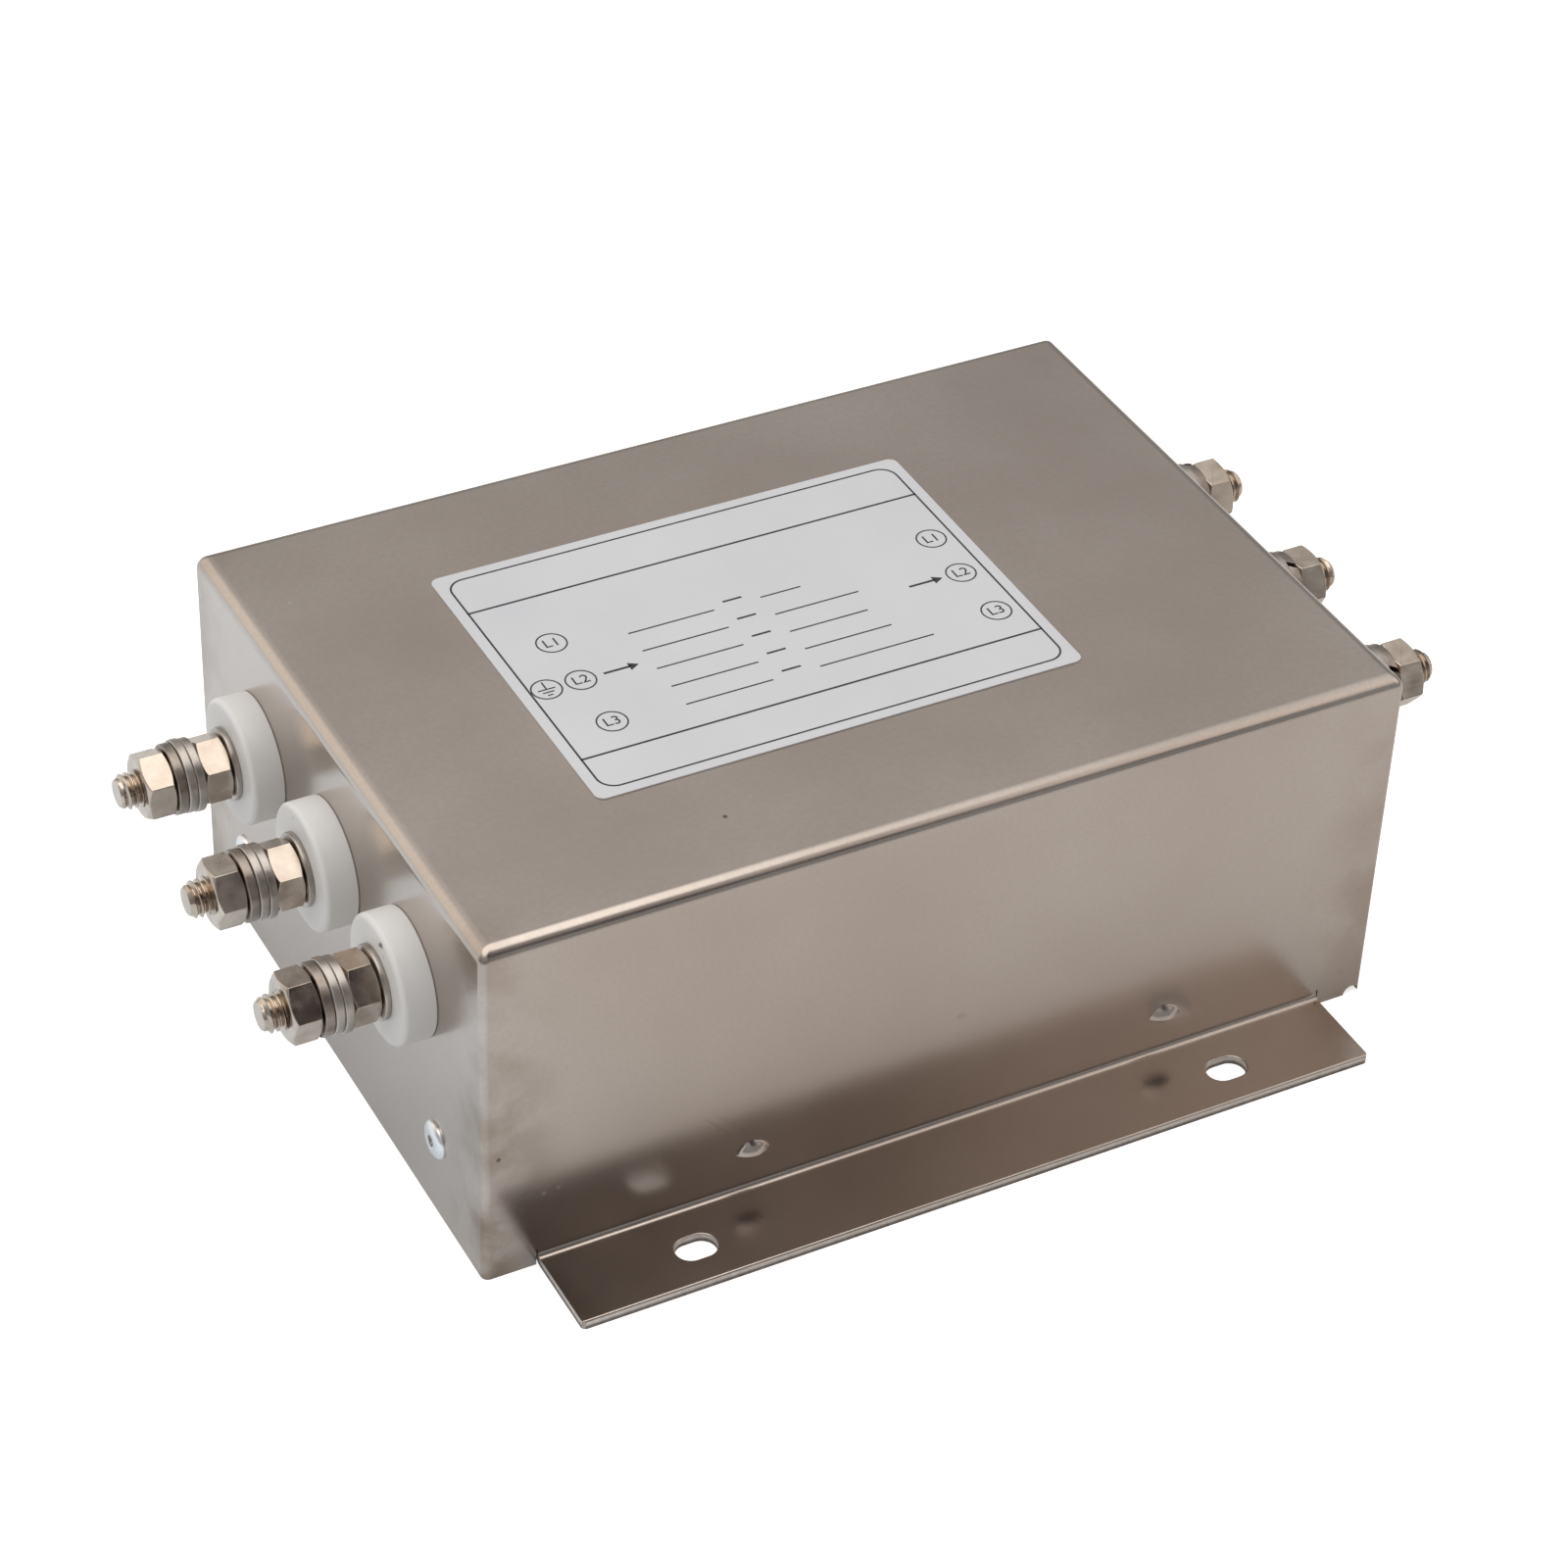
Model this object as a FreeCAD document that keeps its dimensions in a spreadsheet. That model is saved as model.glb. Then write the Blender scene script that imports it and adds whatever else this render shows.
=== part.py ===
import FreeCAD, Part
import math
import os
import re
import Sketcher

# Three-phase line filter in a folded sheet housing.
# Origin: middle of the mounting face, under the centre of the box.
# +X runs along the box towards the output terminals, +Z points up, -Y is the front.

V = FreeCAD.Vector
# Every driving size, in millimetres or degrees.
SIZES = {
    # Housing sheet
    "box_length": 158,  # outside length of the box
    "box_width": 110,  # outside width of the box
    "box_height": 64,  # mounting face to top face
    "wall": 1.6,  # sheet thickness
    "top_bend": 2.4,  # outer radius of the top bends
    "seam_round": 1.2,  # rounding of the ground corner seams
    "flange_reach": 15.7,  # flange edge from the wall
    "flange_length": 140,  # length of each flange
    "flange_bend": 1.0,  # inner radius of the flange bend
    "flange_edge_round": 0.4,  # rolled upper edge of the sheared flange
    "relief_slit": 0.3,  # slit at each end of a flange bend
    "relief_rise": 0.5,  # height of the slit above the bend
    "flange_corner": 0.8,  # rounding of the flange corners
    "slot_pitch": 95,  # slot spacing along the box
    "slot_row": 127,  # slot spacing across the box
    "slot_length": 6.9,  # slot end to end
    "slot_width": 5.0,  # slot width, for M4 screws
    "slot_roll": 0.2,  # rounded upper rim that the punch leaves on a slot
    "corner_notch": 1.5,  # radius of the notch under the right front corner
    "notch_inset": 1.9,  # notch centre from the end of the box
    "lance_left": 33.7,  # left lance from the middle plane
    "lance_right": 40.4,  # right lance from the middle plane
    "lance_middle": 8.1,  # centre of a lance's cap above the mounting face
    "lance_round": 3.0,  # radius of a lance's cap on the wall
    "lance_lip": 8.9,  # lip of a lance above the mounting face
    "lance_reach": 1.4,  # how far a lance's cap stands out
    "lance_edge": 0.3,  # metal left round the hollow of a lance
    "lance_thinning": 0.1,  # how much less deep the hollow is than the cap
    "lance_mouth": 2.3,  # half width of the opening below the lip
    "lance_mouth_drop": 1.3,  # depth of the opening below the lip
    # Terminals
    "stud_height": 41.6,  # terminal axes above the mounting face
    "stud_pitch": 29.2,  # spacing of the terminals
    "wall_hole": 10,  # hole in the wall for an insulator spigot
    "disc_diameter": 20.8,  # outer insulator disc
    "disc_thickness": 5.4,  # outer insulator disc
    "disc_round": 0.9,  # rounded rim of the disc
    "spigot_diameter": 9.8,  # insulator spigot
    "spigot_length": 3.0,  # insulator spigot, through the wall into the inner insulator
    "inner_disc_diameter": 18,  # inner insulator
    "inner_disc_thickness": 3.2,  # inner insulator
    "stud_diameter": 6,  # free end of the M6 stud
    "stud_core": 5.4,  # stud inside its nuts and washers, at the middle of the thread
    "stud_clearance": 6.2,  # bores round the stud
    "stud_reach": 24.1,  # stud tip from the wall
    "stud_chamfer": 0.8,  # chamfer of the stud ends
    "seat_washer_thickness": 1.0,  # washer on the insulator
    "washer_diameter": 12,  # M6 washers
    "washer_bore": 6.4,  # M6 washers
    "nut_flats": 10,  # M6 nut across flats
    "nut_face": 9.5,  # flat round face of an M6 nut
    "nut_thickness": 4.8,  # M6 nut
    "nut_bore": 5.5,  # nut bore over the middle of the thread
    "flat_washer_thickness": 1.5,  # flat washer
    "washer_sag": 0.15,  # how low the inner flat washer hangs
    "washer_lift": 0.1,  # how high the outer flat washer is clamped
    "spring_diameter": 11.6,  # split spring washer
    "spring_thickness": 1.6,  # split spring washer
    "spring_gap": 0.9,  # gap of the split
    "spring_lean": 25,  # lean of the split against the axis, degrees
    "lug_thickness": 1.0,  # tongue of a wire lug
    "lug_drop": 9.5,  # stud axis to the top of the lug barrel
    "barrel_diameter": 4.8,  # lug barrel
    "barrel_length": 6.5,  # lug barrel
    "strap_root": 1,  # strap of a lug below its bore
    "strap_lap": 2.2,  # strap of a lug along its barrel
    "stud_tail": 1.6,  # stud end beyond the inside nut
    # Bottom cover and rivets
    "cover_thickness": 1.2,  # bottom cover sheet
    "cover_recess": 0.3,  # cover above the mounting face
    "cover_gap": 0.3,  # side gap between the cover and the long walls
    "cover_bend": 1.8,  # outer radius of the cover bends
    "cover_relief": 0.5,  # cut at each corner of the cover, beyond its bends
    "tab_width": 96,  # width of the upturned tabs
    "tab_height": 22,  # top of the tabs above the mounting face
    "tab_round": 3,  # rounded corners of the tabs
    "rivet_height": 15,  # rivet axes above the mounting face
    "rivet_spread": 76,  # distance between the two rivets of an end
    "rivet_shank": 3.2,  # rivet shank
    "rivet_hole": 3.3,  # rivet holes
    "rivet_head": 6.5,  # rivet head
    "rivet_head_rise": 1.1,  # rivet head
    "rivet_head_round": 0.9,  # domed rim of the rivet head
    "rivet_bulge": 4.8,  # set end of the rivet
    "rivet_bulge_length": 2.4,  # set end of the rivet
    "rivet_bulge_round": 0.7,  # bevelled end of the set end
    "mandrel_diameter": 1.8,  # drawn mandrel
    "mandrel_play": 0.05,  # gap round the mandrel
    "mandrel_knob": 2.7,  # diameter of the mandrel's inner end
    "mandrel_knob_length": 1.5,  # inner end of the mandrel
    "mandrel_knob_bevel": 0.5,  # inner end of the mandrel
    "mandrel_sink": 0.6,  # mandrel break below the head
    # Label
    "label_length": 83.8,  # label
    "label_width": 62,  # label
    "label_thickness": 0.2,  # label
    "label_round": 1.5,  # label corners
    "label_shift_x": -6.5,  # label centre from the box centre
    "label_shift_y": 1.1,  # label centre from the box centre
    # Circuit board
    "board_length": 120,  # circuit board
    "board_width": 88,  # circuit board
    "board_thickness": 1.6,  # circuit board
    "board_height": 8,  # under side of the board above the mounting face
    "standoff_x": 54,  # standoffs from the middle
    "standoff_y": 38,  # standoffs from the middle
    "standoff_diameter": 6,  # standoff
    "screw_diameter": 3,  # M3 board screw
    "screw_hole": 3.2,  # board hole for a screw
    "screw_head": 5.6,  # board screw head
    "screw_head_rise": 2.0,  # board screw head
    "screw_head_edge": 1.2,  # straight side of the board screw head
    "screw_head_top": 3.9,  # flat top of the board screw head
    "screw_play": 0.05,  # gap round a board screw in its standoff
    "screw_hole_spare": 0.5,  # tapped hole below the screw's end
    "screw_depth": 4,  # board screw in the standoff
    # Choke
    "choke_x": -17,  # choke centre along the box
    "core_outer": 50,  # ring core outside diameter
    "core_inner": 33,  # ring core inside diameter
    "core_height": 18,  # ring core
    "case_wall": 1.2,  # wall of the core case
    "case_fit": 0.15,  # gap between core and case
    "coil_wire": 2.0,  # thickness of a wound layer
    "coil_fit": 0.1,  # gap between the windings and the core case
    "coil_round": 1.2,  # rounded outer edges of a winding
    "coil_angle": 98,  # angle that one winding covers
    "base_thickness": 2,  # choke base plate
    "base_diameter": 60,  # choke base plate
    "spacer_wall": 2,  # arms of the phase separator
    "hub_diameter": 11,  # hub of the phase separator
    "choke_bolt": 5,  # choke bolt
    "bolt_tail": 1,  # bolt end beyond its nut
    "bolt_bore": 5.3,  # bores round the choke bolt
    "bolt_head": 8.5,  # choke bolt head
    "bolt_head_rise": 3.2,  # choke bolt head
    "clamp_disc": 34,  # clamp disc on the choke
    "clamp_disc_thickness": 1.6,  # clamp disc on the choke
    "bolt_nut_flats": 8,  # choke nut across flats
    "bolt_nut_face": 7.6,  # flat round face of the choke nut
    "bolt_nut_bore": 5.1,  # choke nut bore
    "bolt_nut_rise": 4,  # choke nut
    # Small components
    "film_cap_x": 29,  # X capacitor centre along the box
    "film_cap_length": 26.5,  # X capacitor
    "film_cap_depth": 10,  # X capacitor
    "film_cap_height": 19,  # X capacitor
    "film_cap_pitch": 24,  # X capacitor spacing
    "earth_cap_x": 47,  # Y capacitor centre along the box
    "earth_cap_length": 13,  # Y capacitor, across the box
    "earth_cap_depth": 6,  # Y capacitor
    "earth_cap_height": 12,  # Y capacitor
    "resistor_diameter": 3.4,  # bleed resistor
    "resistor_length": 9,  # bleed resistor
    "resistor_leg_pitch": 13,  # bleed resistor legs
    "leg_diameter": 0.8,  # component leg
    "leg_hole": 1.0,  # board hole for a leg
    "leg_length": 3,  # leg below the board face
    "film_leg_pitch": 22.5,  # X capacitor legs
    "earth_leg_pitch": 10,  # Y capacitor legs
    "lead_diameter": 3,  # insulated lead
    "lead_landing": 52.5,  # leads on the board from the middle
    "lead_bend": 7,  # bends of a lead, on its centre line
    "lead_start": 1,  # straight part of a lead under its lug
    # Drawing aids
    "overcut": 1,  # how far a cutting shape runs past the metal
}

doc = FreeCAD.newDocument("LineFilter")
sheet = doc.addObject("Spreadsheet::Sheet", "Sizes")
for row, (alias, value) in enumerate(SIZES.items(), start=1):
    sheet.set("A%d" % row, alias.replace("_", " "))
    sheet.set("B%d" % row, str(value))
    sheet.setAlias("B%d" % row, alias)
working = doc.addObject("Spreadsheet::Sheet", "Working")
worked_out = {}
doc.recompute()


def bound(formula):
    """The formula with every size name pointing at the sheet."""
    return re.sub(
        r"[a-z_][a-z_0-9]*",
        lambda found: "Sizes." + found.group() if found.group() in SIZES else found.group(),
        formula,
    )


def number(formula):
    """The present value of a formula of size names, worked out on a sheet of its own."""
    if formula not in worked_out:
        working.set("A1", "=" + bound(formula))
        working.recompute()
        worked_out[formula] = float(working.get("A1"))
    return worked_out[formula]


def drive(item, **formulas):
    """Bind properties of an object to formulas of size names."""
    for name, formula in formulas.items():
        item.setExpression(name, bound(formula))


def new_body(label):
    body = doc.addObject("PartDesign::Body", label)
    body.Label = label
    return body


def new_sketch(body, role, lift="0", across="0", along="0"):
    """A sketch on an origin plane of the body, lifted along its normal or moved within it."""
    sketch = body.newObject("Sketcher::SketchObject", body.Label + "_sketch")
    plane = [item for item in body.Origin.OriginFeatures if item.Role == role][0]
    sketch.AttachmentSupport = [(plane, "")]
    sketch.MapMode = "FlatFace"
    if lift != "0":
        sketch.setExpression("AttachmentOffset.Base.z", bound(lift))
    if across != "0":
        sketch.setExpression("AttachmentOffset.Base.y", bound(across))
    if along != "0":
        sketch.setExpression("AttachmentOffset.Base.x", bound(along))
    return sketch


def pin_point(sketch, geometry, end, x_formula, y_formula):
    """Tie one point of the sketch to the origin by two driven distances."""
    for kind, formula, axis in (("DistanceX", x_formula, -2), ("DistanceY", y_formula, -1)):
        if formula == "0":
            sketch.addConstraint(Sketcher.Constraint("PointOnObject", geometry, end, axis))
        else:
            rule = Sketcher.Constraint(kind, -1, 1, geometry, end, number(formula))
            place = sketch.addConstraint(rule)
            sketch.setExpression("Constraints[%d]" % place, bound(formula))


def draw_polygon(sketch, corners):
    first = sketch.GeometryCount
    spots = [V(number(x), number(y), 0) for x, y in corners]
    count = len(spots)
    for index in range(count):
        line = Part.LineSegment(spots[index], spots[(index + 1) % count])
        sketch.addGeometry(line, False)
    for index in range(count):
        following = first + (index + 1) % count
        sketch.addConstraint(Sketcher.Constraint("Coincident", first + index, 2, following, 1))
    for index, (x, y) in enumerate(corners):
        pin_point(sketch, first + index, 1, x, y)


def draw_box(sketch, left, right, low, high):
    draw_polygon(sketch, [(left, low), (right, low), (right, high), (left, high)])


def draw_circle(sketch, x, y, diameter):
    circle = Part.Circle(V(number(x), number(y), 0), V(0, 0, 1), number(diameter) / 2)
    index = sketch.addGeometry(circle, False)
    pin_point(sketch, index, 3, x, y)
    rule = Sketcher.Constraint("Diameter", index, number(diameter))
    place = sketch.addConstraint(rule)
    sketch.setExpression("Constraints[%d]" % place, bound(diameter))


def draw_slot(sketch, x, y, length, width):
    """A round-ended slot along the sketch's X: two arcs and two tangent lines."""
    right_x = "%s + (%s - %s) / 2" % (x, length, width)
    left_x = "%s - (%s - %s) / 2" % (x, length, width)
    radius = number(width) / 2
    right_spot = V(number(right_x), number(y), 0)
    left_spot = V(number(left_x), number(y), 0)
    up = V(0, radius, 0)
    quarter = math.pi / 2
    right_circle = Part.Circle(right_spot, V(0, 0, 1), radius)
    left_circle = Part.Circle(left_spot, V(0, 0, 1), radius)
    right = sketch.addGeometry(Part.ArcOfCircle(right_circle, -quarter, quarter), False)
    left = sketch.addGeometry(Part.ArcOfCircle(left_circle, quarter, 3 * quarter), False)
    upper = sketch.addGeometry(Part.LineSegment(right_spot + up, left_spot + up), False)
    lower = sketch.addGeometry(Part.LineSegment(left_spot - up, right_spot - up), False)
    sketch.addConstraint(Sketcher.Constraint("Tangent", right, 2, upper, 1))
    sketch.addConstraint(Sketcher.Constraint("Tangent", upper, 2, left, 1))
    sketch.addConstraint(Sketcher.Constraint("Tangent", left, 2, lower, 1))
    sketch.addConstraint(Sketcher.Constraint("Tangent", lower, 2, right, 1))
    sketch.addConstraint(Sketcher.Constraint("Equal", right, left))
    pin_point(sketch, right, 3, right_x, y)
    pin_point(sketch, left, 3, left_x, y)
    place = sketch.addConstraint(Sketcher.Constraint("Diameter", right, 2 * radius))
    sketch.setExpression("Constraints[%d]" % place, bound(width))


def draw_sagging_arc(sketch, x, y, half, drop):
    """A segment of a circle: a chord of two half widths at height y, its arc below."""
    radius_formula = "(pow(%s; 2) + pow(%s; 2)) / (2 * %s)" % (half, drop, drop)
    radius = number(radius_formula)
    reach = number(half)
    middle = V(number(x), number(y) - number(drop) + radius, 0)
    swing = math.asin(reach / radius)
    down = -math.pi / 2
    circle = Part.Circle(middle, V(0, 0, 1), radius)
    arc = sketch.addGeometry(Part.ArcOfCircle(circle, down - swing, down + swing), False)
    left_spot = V(number(x) - reach, number(y), 0)
    right_spot = V(number(x) + reach, number(y), 0)
    chord = sketch.addGeometry(Part.LineSegment(right_spot, left_spot), False)
    sketch.addConstraint(Sketcher.Constraint("Coincident", arc, 2, chord, 1))
    sketch.addConstraint(Sketcher.Constraint("Coincident", arc, 1, chord, 2))
    pin_point(sketch, chord, 1, "%s + %s" % (x, half), y)
    pin_point(sketch, chord, 2, "%s - %s" % (x, half), y)
    place = sketch.addConstraint(Sketcher.Constraint("Radius", arc, radius))
    sketch.setExpression("Constraints[%d]" % place, bound(radius_formula))


def draw_corner_waste(sketch, x_sign, x, y_sign, y, radius_formula):
    """What a rounded corner at x, y leaves over: the signs say in which quarter it lies."""
    radius = number(radius_formula)
    turn_x = -1 if x_sign else 1
    turn_y = -1 if y_sign else 1
    inner_x = "%s(%s - %s)" % (x_sign, x, radius_formula)
    inner_y = "%s(%s - %s)" % (y_sign, y, radius_formula)
    outer_x = "%s(%s + overcut)" % (x_sign, x)
    outer_y = "%s(%s + overcut)" % (y_sign, y)
    edge_x = "%s(%s)" % (x_sign, x)
    edge_y = "%s(%s)" % (y_sign, y)
    route = [(inner_x, edge_y), (inner_x, outer_y), (outer_x, outer_y), (outer_x, inner_y),
             (edge_x, inner_y)]
    spots = [V(number(spot_x), number(spot_y), 0) for spot_x, spot_y in route]
    first = sketch.GeometryCount
    for start, end in zip(spots, spots[1:]):
        sketch.addGeometry(Part.LineSegment(start, end), False)
    middle = V(number(inner_x), number(inner_y), 0)
    bulge = V(turn_x, turn_y, 0).normalize() * radius
    curve = Part.Arc(spots[0], middle + bulge, spots[-1])
    arc = sketch.addGeometry(curve, False)
    for index in range(first, arc - 1):
        sketch.addConstraint(Sketcher.Constraint("Coincident", index, 2, index + 1, 1))
    along_y = sketch.getPoint(arc, 1).distanceToPoint(spots[0]) < sketch.getPoint(
        arc, 2).distanceToPoint(spots[0])
    sketch.addConstraint(Sketcher.Constraint("Coincident", arc, 1 if along_y else 2, first, 1))
    sketch.addConstraint(Sketcher.Constraint("Coincident", arc, 2 if along_y else 1, arc - 1, 2))
    for index, (spot_x, spot_y) in enumerate(route[:-1]):
        pin_point(sketch, first + index, 1, spot_x, spot_y)
    pin_point(sketch, arc - 1, 2, edge_x, inner_y)
    place = sketch.addConstraint(Sketcher.Constraint("Radius", arc, radius))
    sketch.setExpression("Constraints[%d]" % place, bound(radius_formula))


def draw_cap(sketch, half, rise, side):
    """Half of a circle segment beside the vertical axis, bulging down (side "-") or up."""
    radius_formula = "(pow(%s; 2) + pow(%s; 2)) / (2 * %s)" % (half, rise, rise)
    radius = number(radius_formula)
    reach = number(half)
    turn = -1 if side else 1
    swing = math.asin(reach / radius)
    peak = V(0, turn * number(rise), 0)
    rim = V(reach, 0, 0)
    circle = Part.Circle(peak - V(0, turn * radius, 0), V(0, 0, 1), radius)
    upright = math.pi / 2
    if side:
        curve = Part.ArcOfCircle(circle, -upright, -upright + swing)
    else:
        curve = Part.ArcOfCircle(circle, upright - swing, upright)
    arc = sketch.addGeometry(curve, False)
    base = sketch.addGeometry(Part.LineSegment(rim, V(0, 0, 0)), False)
    axis = sketch.addGeometry(Part.LineSegment(V(0, 0, 0), peak), False)
    sketch.addConstraint(Sketcher.Constraint("Coincident", arc, 2 if side else 1, base, 1))
    sketch.addConstraint(Sketcher.Constraint("Coincident", base, 2, axis, 1))
    sketch.addConstraint(Sketcher.Constraint("Coincident", axis, 2, arc, 1 if side else 2))
    pin_point(sketch, base, 1, half, "0")
    pin_point(sketch, axis, 1, "0", "0")
    pin_point(sketch, axis, 2, "0", "%s(%s)" % (side, rise))
    place = sketch.addConstraint(Sketcher.Constraint("Radius", arc, radius))
    sketch.setExpression("Constraints[%d]" % place, bound(radius_formula))


def pad(body, sketch, length, symmetric=False, reverse=False):
    feature = body.newObject("PartDesign::Pad", body.Label + "_pad")
    feature.Profile = sketch
    drive(feature, Length=length)
    if symmetric:
        feature.SideType = "Symmetric"
    feature.Reversed = reverse
    doc.recompute()
    return feature


def pocket(body, sketch, length, symmetric=False, reverse=False):
    """Cut the sketch into the body, and stop if nothing was removed."""
    before = body.Shape.Volume
    feature = body.newObject("PartDesign::Pocket", body.Label + "_pocket")
    feature.Profile = sketch
    drive(feature, Length=length)
    if symmetric:
        feature.SideType = "Symmetric"
    feature.Reversed = reverse
    doc.recompute()
    if body.Shape.Volume >= before:
        raise RuntimeError("a pocket of %s removed nothing" % body.Label)
    return feature


def revolve(body, sketch, axis, angle="360", reverse=False, symmetric=False):
    feature = body.newObject("PartDesign::Revolution", body.Label + "_turned")
    feature.Profile = sketch
    feature.ReferenceAxis = (sketch, [axis])
    drive(feature, Angle=angle)
    feature.Reversed = reverse
    feature.Midplane = symmetric
    doc.recompute()
    return feature


def groove(body, sketch, axis, angle="360", reverse=False):
    """Cut a revolved sketch out of the body, and stop if nothing was removed."""
    before = body.Shape.Volume
    feature = body.newObject("PartDesign::Groove", body.Label + "_groove")
    feature.Profile = sketch
    feature.ReferenceAxis = (sketch, [axis])
    drive(feature, Angle=angle)
    feature.Reversed = reverse
    doc.recompute()
    if body.Shape.Volume >= before:
        raise RuntimeError("a groove of %s removed nothing" % body.Label)
    return feature


def round_edges(body, radius, chosen):
    """Fillet the edges of the body's tip that the test chooses."""
    tip = body.Tip
    names = []
    for index, edge in enumerate(tip.Shape.Edges):
        if chosen(edge):
            names.append("Edge%d" % (index + 1))
    if not names:
        raise RuntimeError("no edge chosen on %s" % body.Label)
    feature = body.newObject("PartDesign::Fillet", body.Label + "_edge")
    feature.Base = (tip, names)
    drive(feature, Radius=radius)
    doc.recompute()
    return feature


def near(value, formula):
    """Whether a measured length equals a formula of size names, to a hundredth."""
    return abs(value - number(formula)) < 0.01


def turned_along_x(body, corners):
    """Revolve a half profile, given as distance along X and radius, about the X axis."""
    sketch = new_sketch(body, "XY_Plane")
    draw_polygon(sketch, corners)
    return revolve(body, sketch, "H_Axis")


def turned_along_z(body, corners):
    """Revolve a half profile, given as radius and height, about the Z axis."""
    sketch = new_sketch(body, "XZ_Plane")
    draw_polygon(sketch, corners)
    return revolve(body, sketch, "V_Axis")


def place(body, x, y, z):
    drive(body, **{"Placement.Base.x": x, "Placement.Base.y": y, "Placement.Base.z": z})


def finished(label, copies):
    """One node out of placed copies of a master piece: each copy is a link."""
    links = []
    for master, x, y, z, turn in copies:
        link = doc.addObject("App::Link", label + "_copy")
        link.LinkedObject = master
        link.Placement = FreeCAD.Placement(V(number(x), number(y), number(z)), turn)
        drive(link, **{"Placement.Base.x": x, "Placement.Base.y": y, "Placement.Base.z": z})
        links.append(link)
    group = doc.addObject("Part::Compound", label)
    group.Label = label
    group.Links = links
    return group


nodes = {}
STRAIGHT = FreeCAD.Rotation()
HALF_TURN = FreeCAD.Rotation(V(0, 0, 1), 180)
ROWS = ("stud_pitch", "0", "-stud_pitch")


def about_x(degrees):
    return FreeCAD.Rotation(V(1, 0, 0), degrees)


def at_terminals(label, master, station, turns, shifts=None):
    """Copies of a terminal piece at all six studs.

    The master lies on the X axis with its outer side towards +X, and station is the distance
    from the wall's outer face at which its own zero lies, outwards.
    """
    shifts = shifts or ["0"] * 6
    copies = []
    for index, row in enumerate(ROWS):
        height = "stud_height + %s" % shifts[index]
        x = "-(box_length / 2 + %s)" % station
        copies.append((master, x, row, height, HALF_TURN.multiply(about_x(turns[index]))))
    for index, row in enumerate(ROWS):
        height = "stud_height + %s" % shifts[index + 3]
        x = "box_length / 2 + %s" % station
        copies.append((master, x, row, height, about_x(turns[index + 3])))
    nodes[label] = finished(label, copies)


# Housing shell: a closed block with rounded bends, hollowed from below.
shell = new_body("housing_shell")
outline = new_sketch(shell, "XY_Plane")
draw_box(outline, "-box_length / 2", "box_length / 2", "-box_width / 2", "box_width / 2")
pad(shell, outline, "box_height")
round_edges(shell, "seam_round", lambda edge: near(edge.BoundBox.ZLength, "box_height"))
round_edges(shell, "top_bend", lambda edge: near(edge.BoundBox.ZMin, "box_height"))
hollow = new_sketch(shell, "XY_Plane")
draw_box(
    hollow,
    "-(box_length / 2 - wall)",
    "box_length / 2 - wall",
    "-(box_width / 2 - wall)",
    "box_width / 2 - wall",
)
pocket(shell, hollow, "box_height - wall", reverse=True)
round_edges(
    shell,
    "top_bend - wall",
    lambda edge: near(edge.BoundBox.ZMin, "box_height - wall")
    and near(edge.BoundBox.ZMax, "box_height - wall"),
)

# Small half-round notch under the right front corner.
notch = new_sketch(shell, "XZ_Plane", "box_width / 2 - wall - overcut")
draw_circle(notch, "box_length / 2 - notch_inset", "0", "2 * corner_notch")
pocket(shell, notch, "wall + 2 * overcut", reverse=True)

# Windows at the foot of both long walls, with the relief slits, for the flange bends.
windows = new_sketch(shell, "XY_Plane")
for near_y, far_y in (("-(box_width / 2 + overcut)", "-(box_width / 2 - wall - overcut)"),
                      ("box_width / 2 - wall - overcut", "box_width / 2 + overcut")):
    draw_box(
        windows,
        "-(flange_length / 2 + relief_slit)",
        "flange_length / 2 + relief_slit",
        near_y,
        far_y,
    )
pocket(shell, windows, "wall + flange_bend + relief_rise", reverse=True)

# Flanges: an angle profile drawn in the cross-section, run along the box.
angle = new_sketch(shell, "YZ_Plane")
for side in ("-", ""):
    draw_polygon(angle, [
        ("%s(box_width / 2 - wall)" % side, "0"),
        ("%s(box_width / 2 + flange_reach)" % side, "0"),
        ("%s(box_width / 2 + flange_reach)" % side, "wall"),
        ("%s(box_width / 2)" % side, "wall"),
        ("%s(box_width / 2)" % side, "wall + flange_bend + relief_rise"),
        ("%s(box_width / 2 - wall)" % side, "wall + flange_bend + relief_rise"),
    ])
pad(shell, angle, "flange_length", symmetric=True)


def along_flange(edge, y_formula, z_formula):
    box = edge.BoundBox
    return (
        near(box.XLength, "flange_length")
        and near(abs(box.Center.y), y_formula)
        and near(box.Center.z, z_formula)
    )


round_edges(
    shell,
    "flange_bend + wall",
    lambda edge: along_flange(edge, "box_width / 2 - wall", "0"),
)
round_edges(shell, "flange_bend", lambda edge: along_flange(edge, "box_width / 2", "wall"))
round_edges(
    shell,
    "flange_edge_round",
    lambda edge: along_flange(edge, "box_width / 2 + flange_reach", "wall"),
)

# The four outer corners of the flanges are cut round.
corners = new_sketch(shell, "XY_Plane")
for x_sign in ("-", ""):
    for y_sign in ("-", ""):
        draw_corner_waste(
            corners,
            x_sign,
            "flange_length / 2",
            y_sign,
            "box_width / 2 + flange_reach",
            "flange_corner",
        )
pocket(shell, corners, "wall", reverse=True)

# Mounting slots, each with the rounded upper rim that the punch leaves.
slots = new_sketch(shell, "XY_Plane")
for x in ("-slot_pitch / 2", "slot_pitch / 2"):
    for y in ("-slot_row / 2", "slot_row / 2"):
        draw_slot(slots, x, y, "slot_length", "slot_width")
pocket(shell, slots, "wall", reverse=True)


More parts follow.
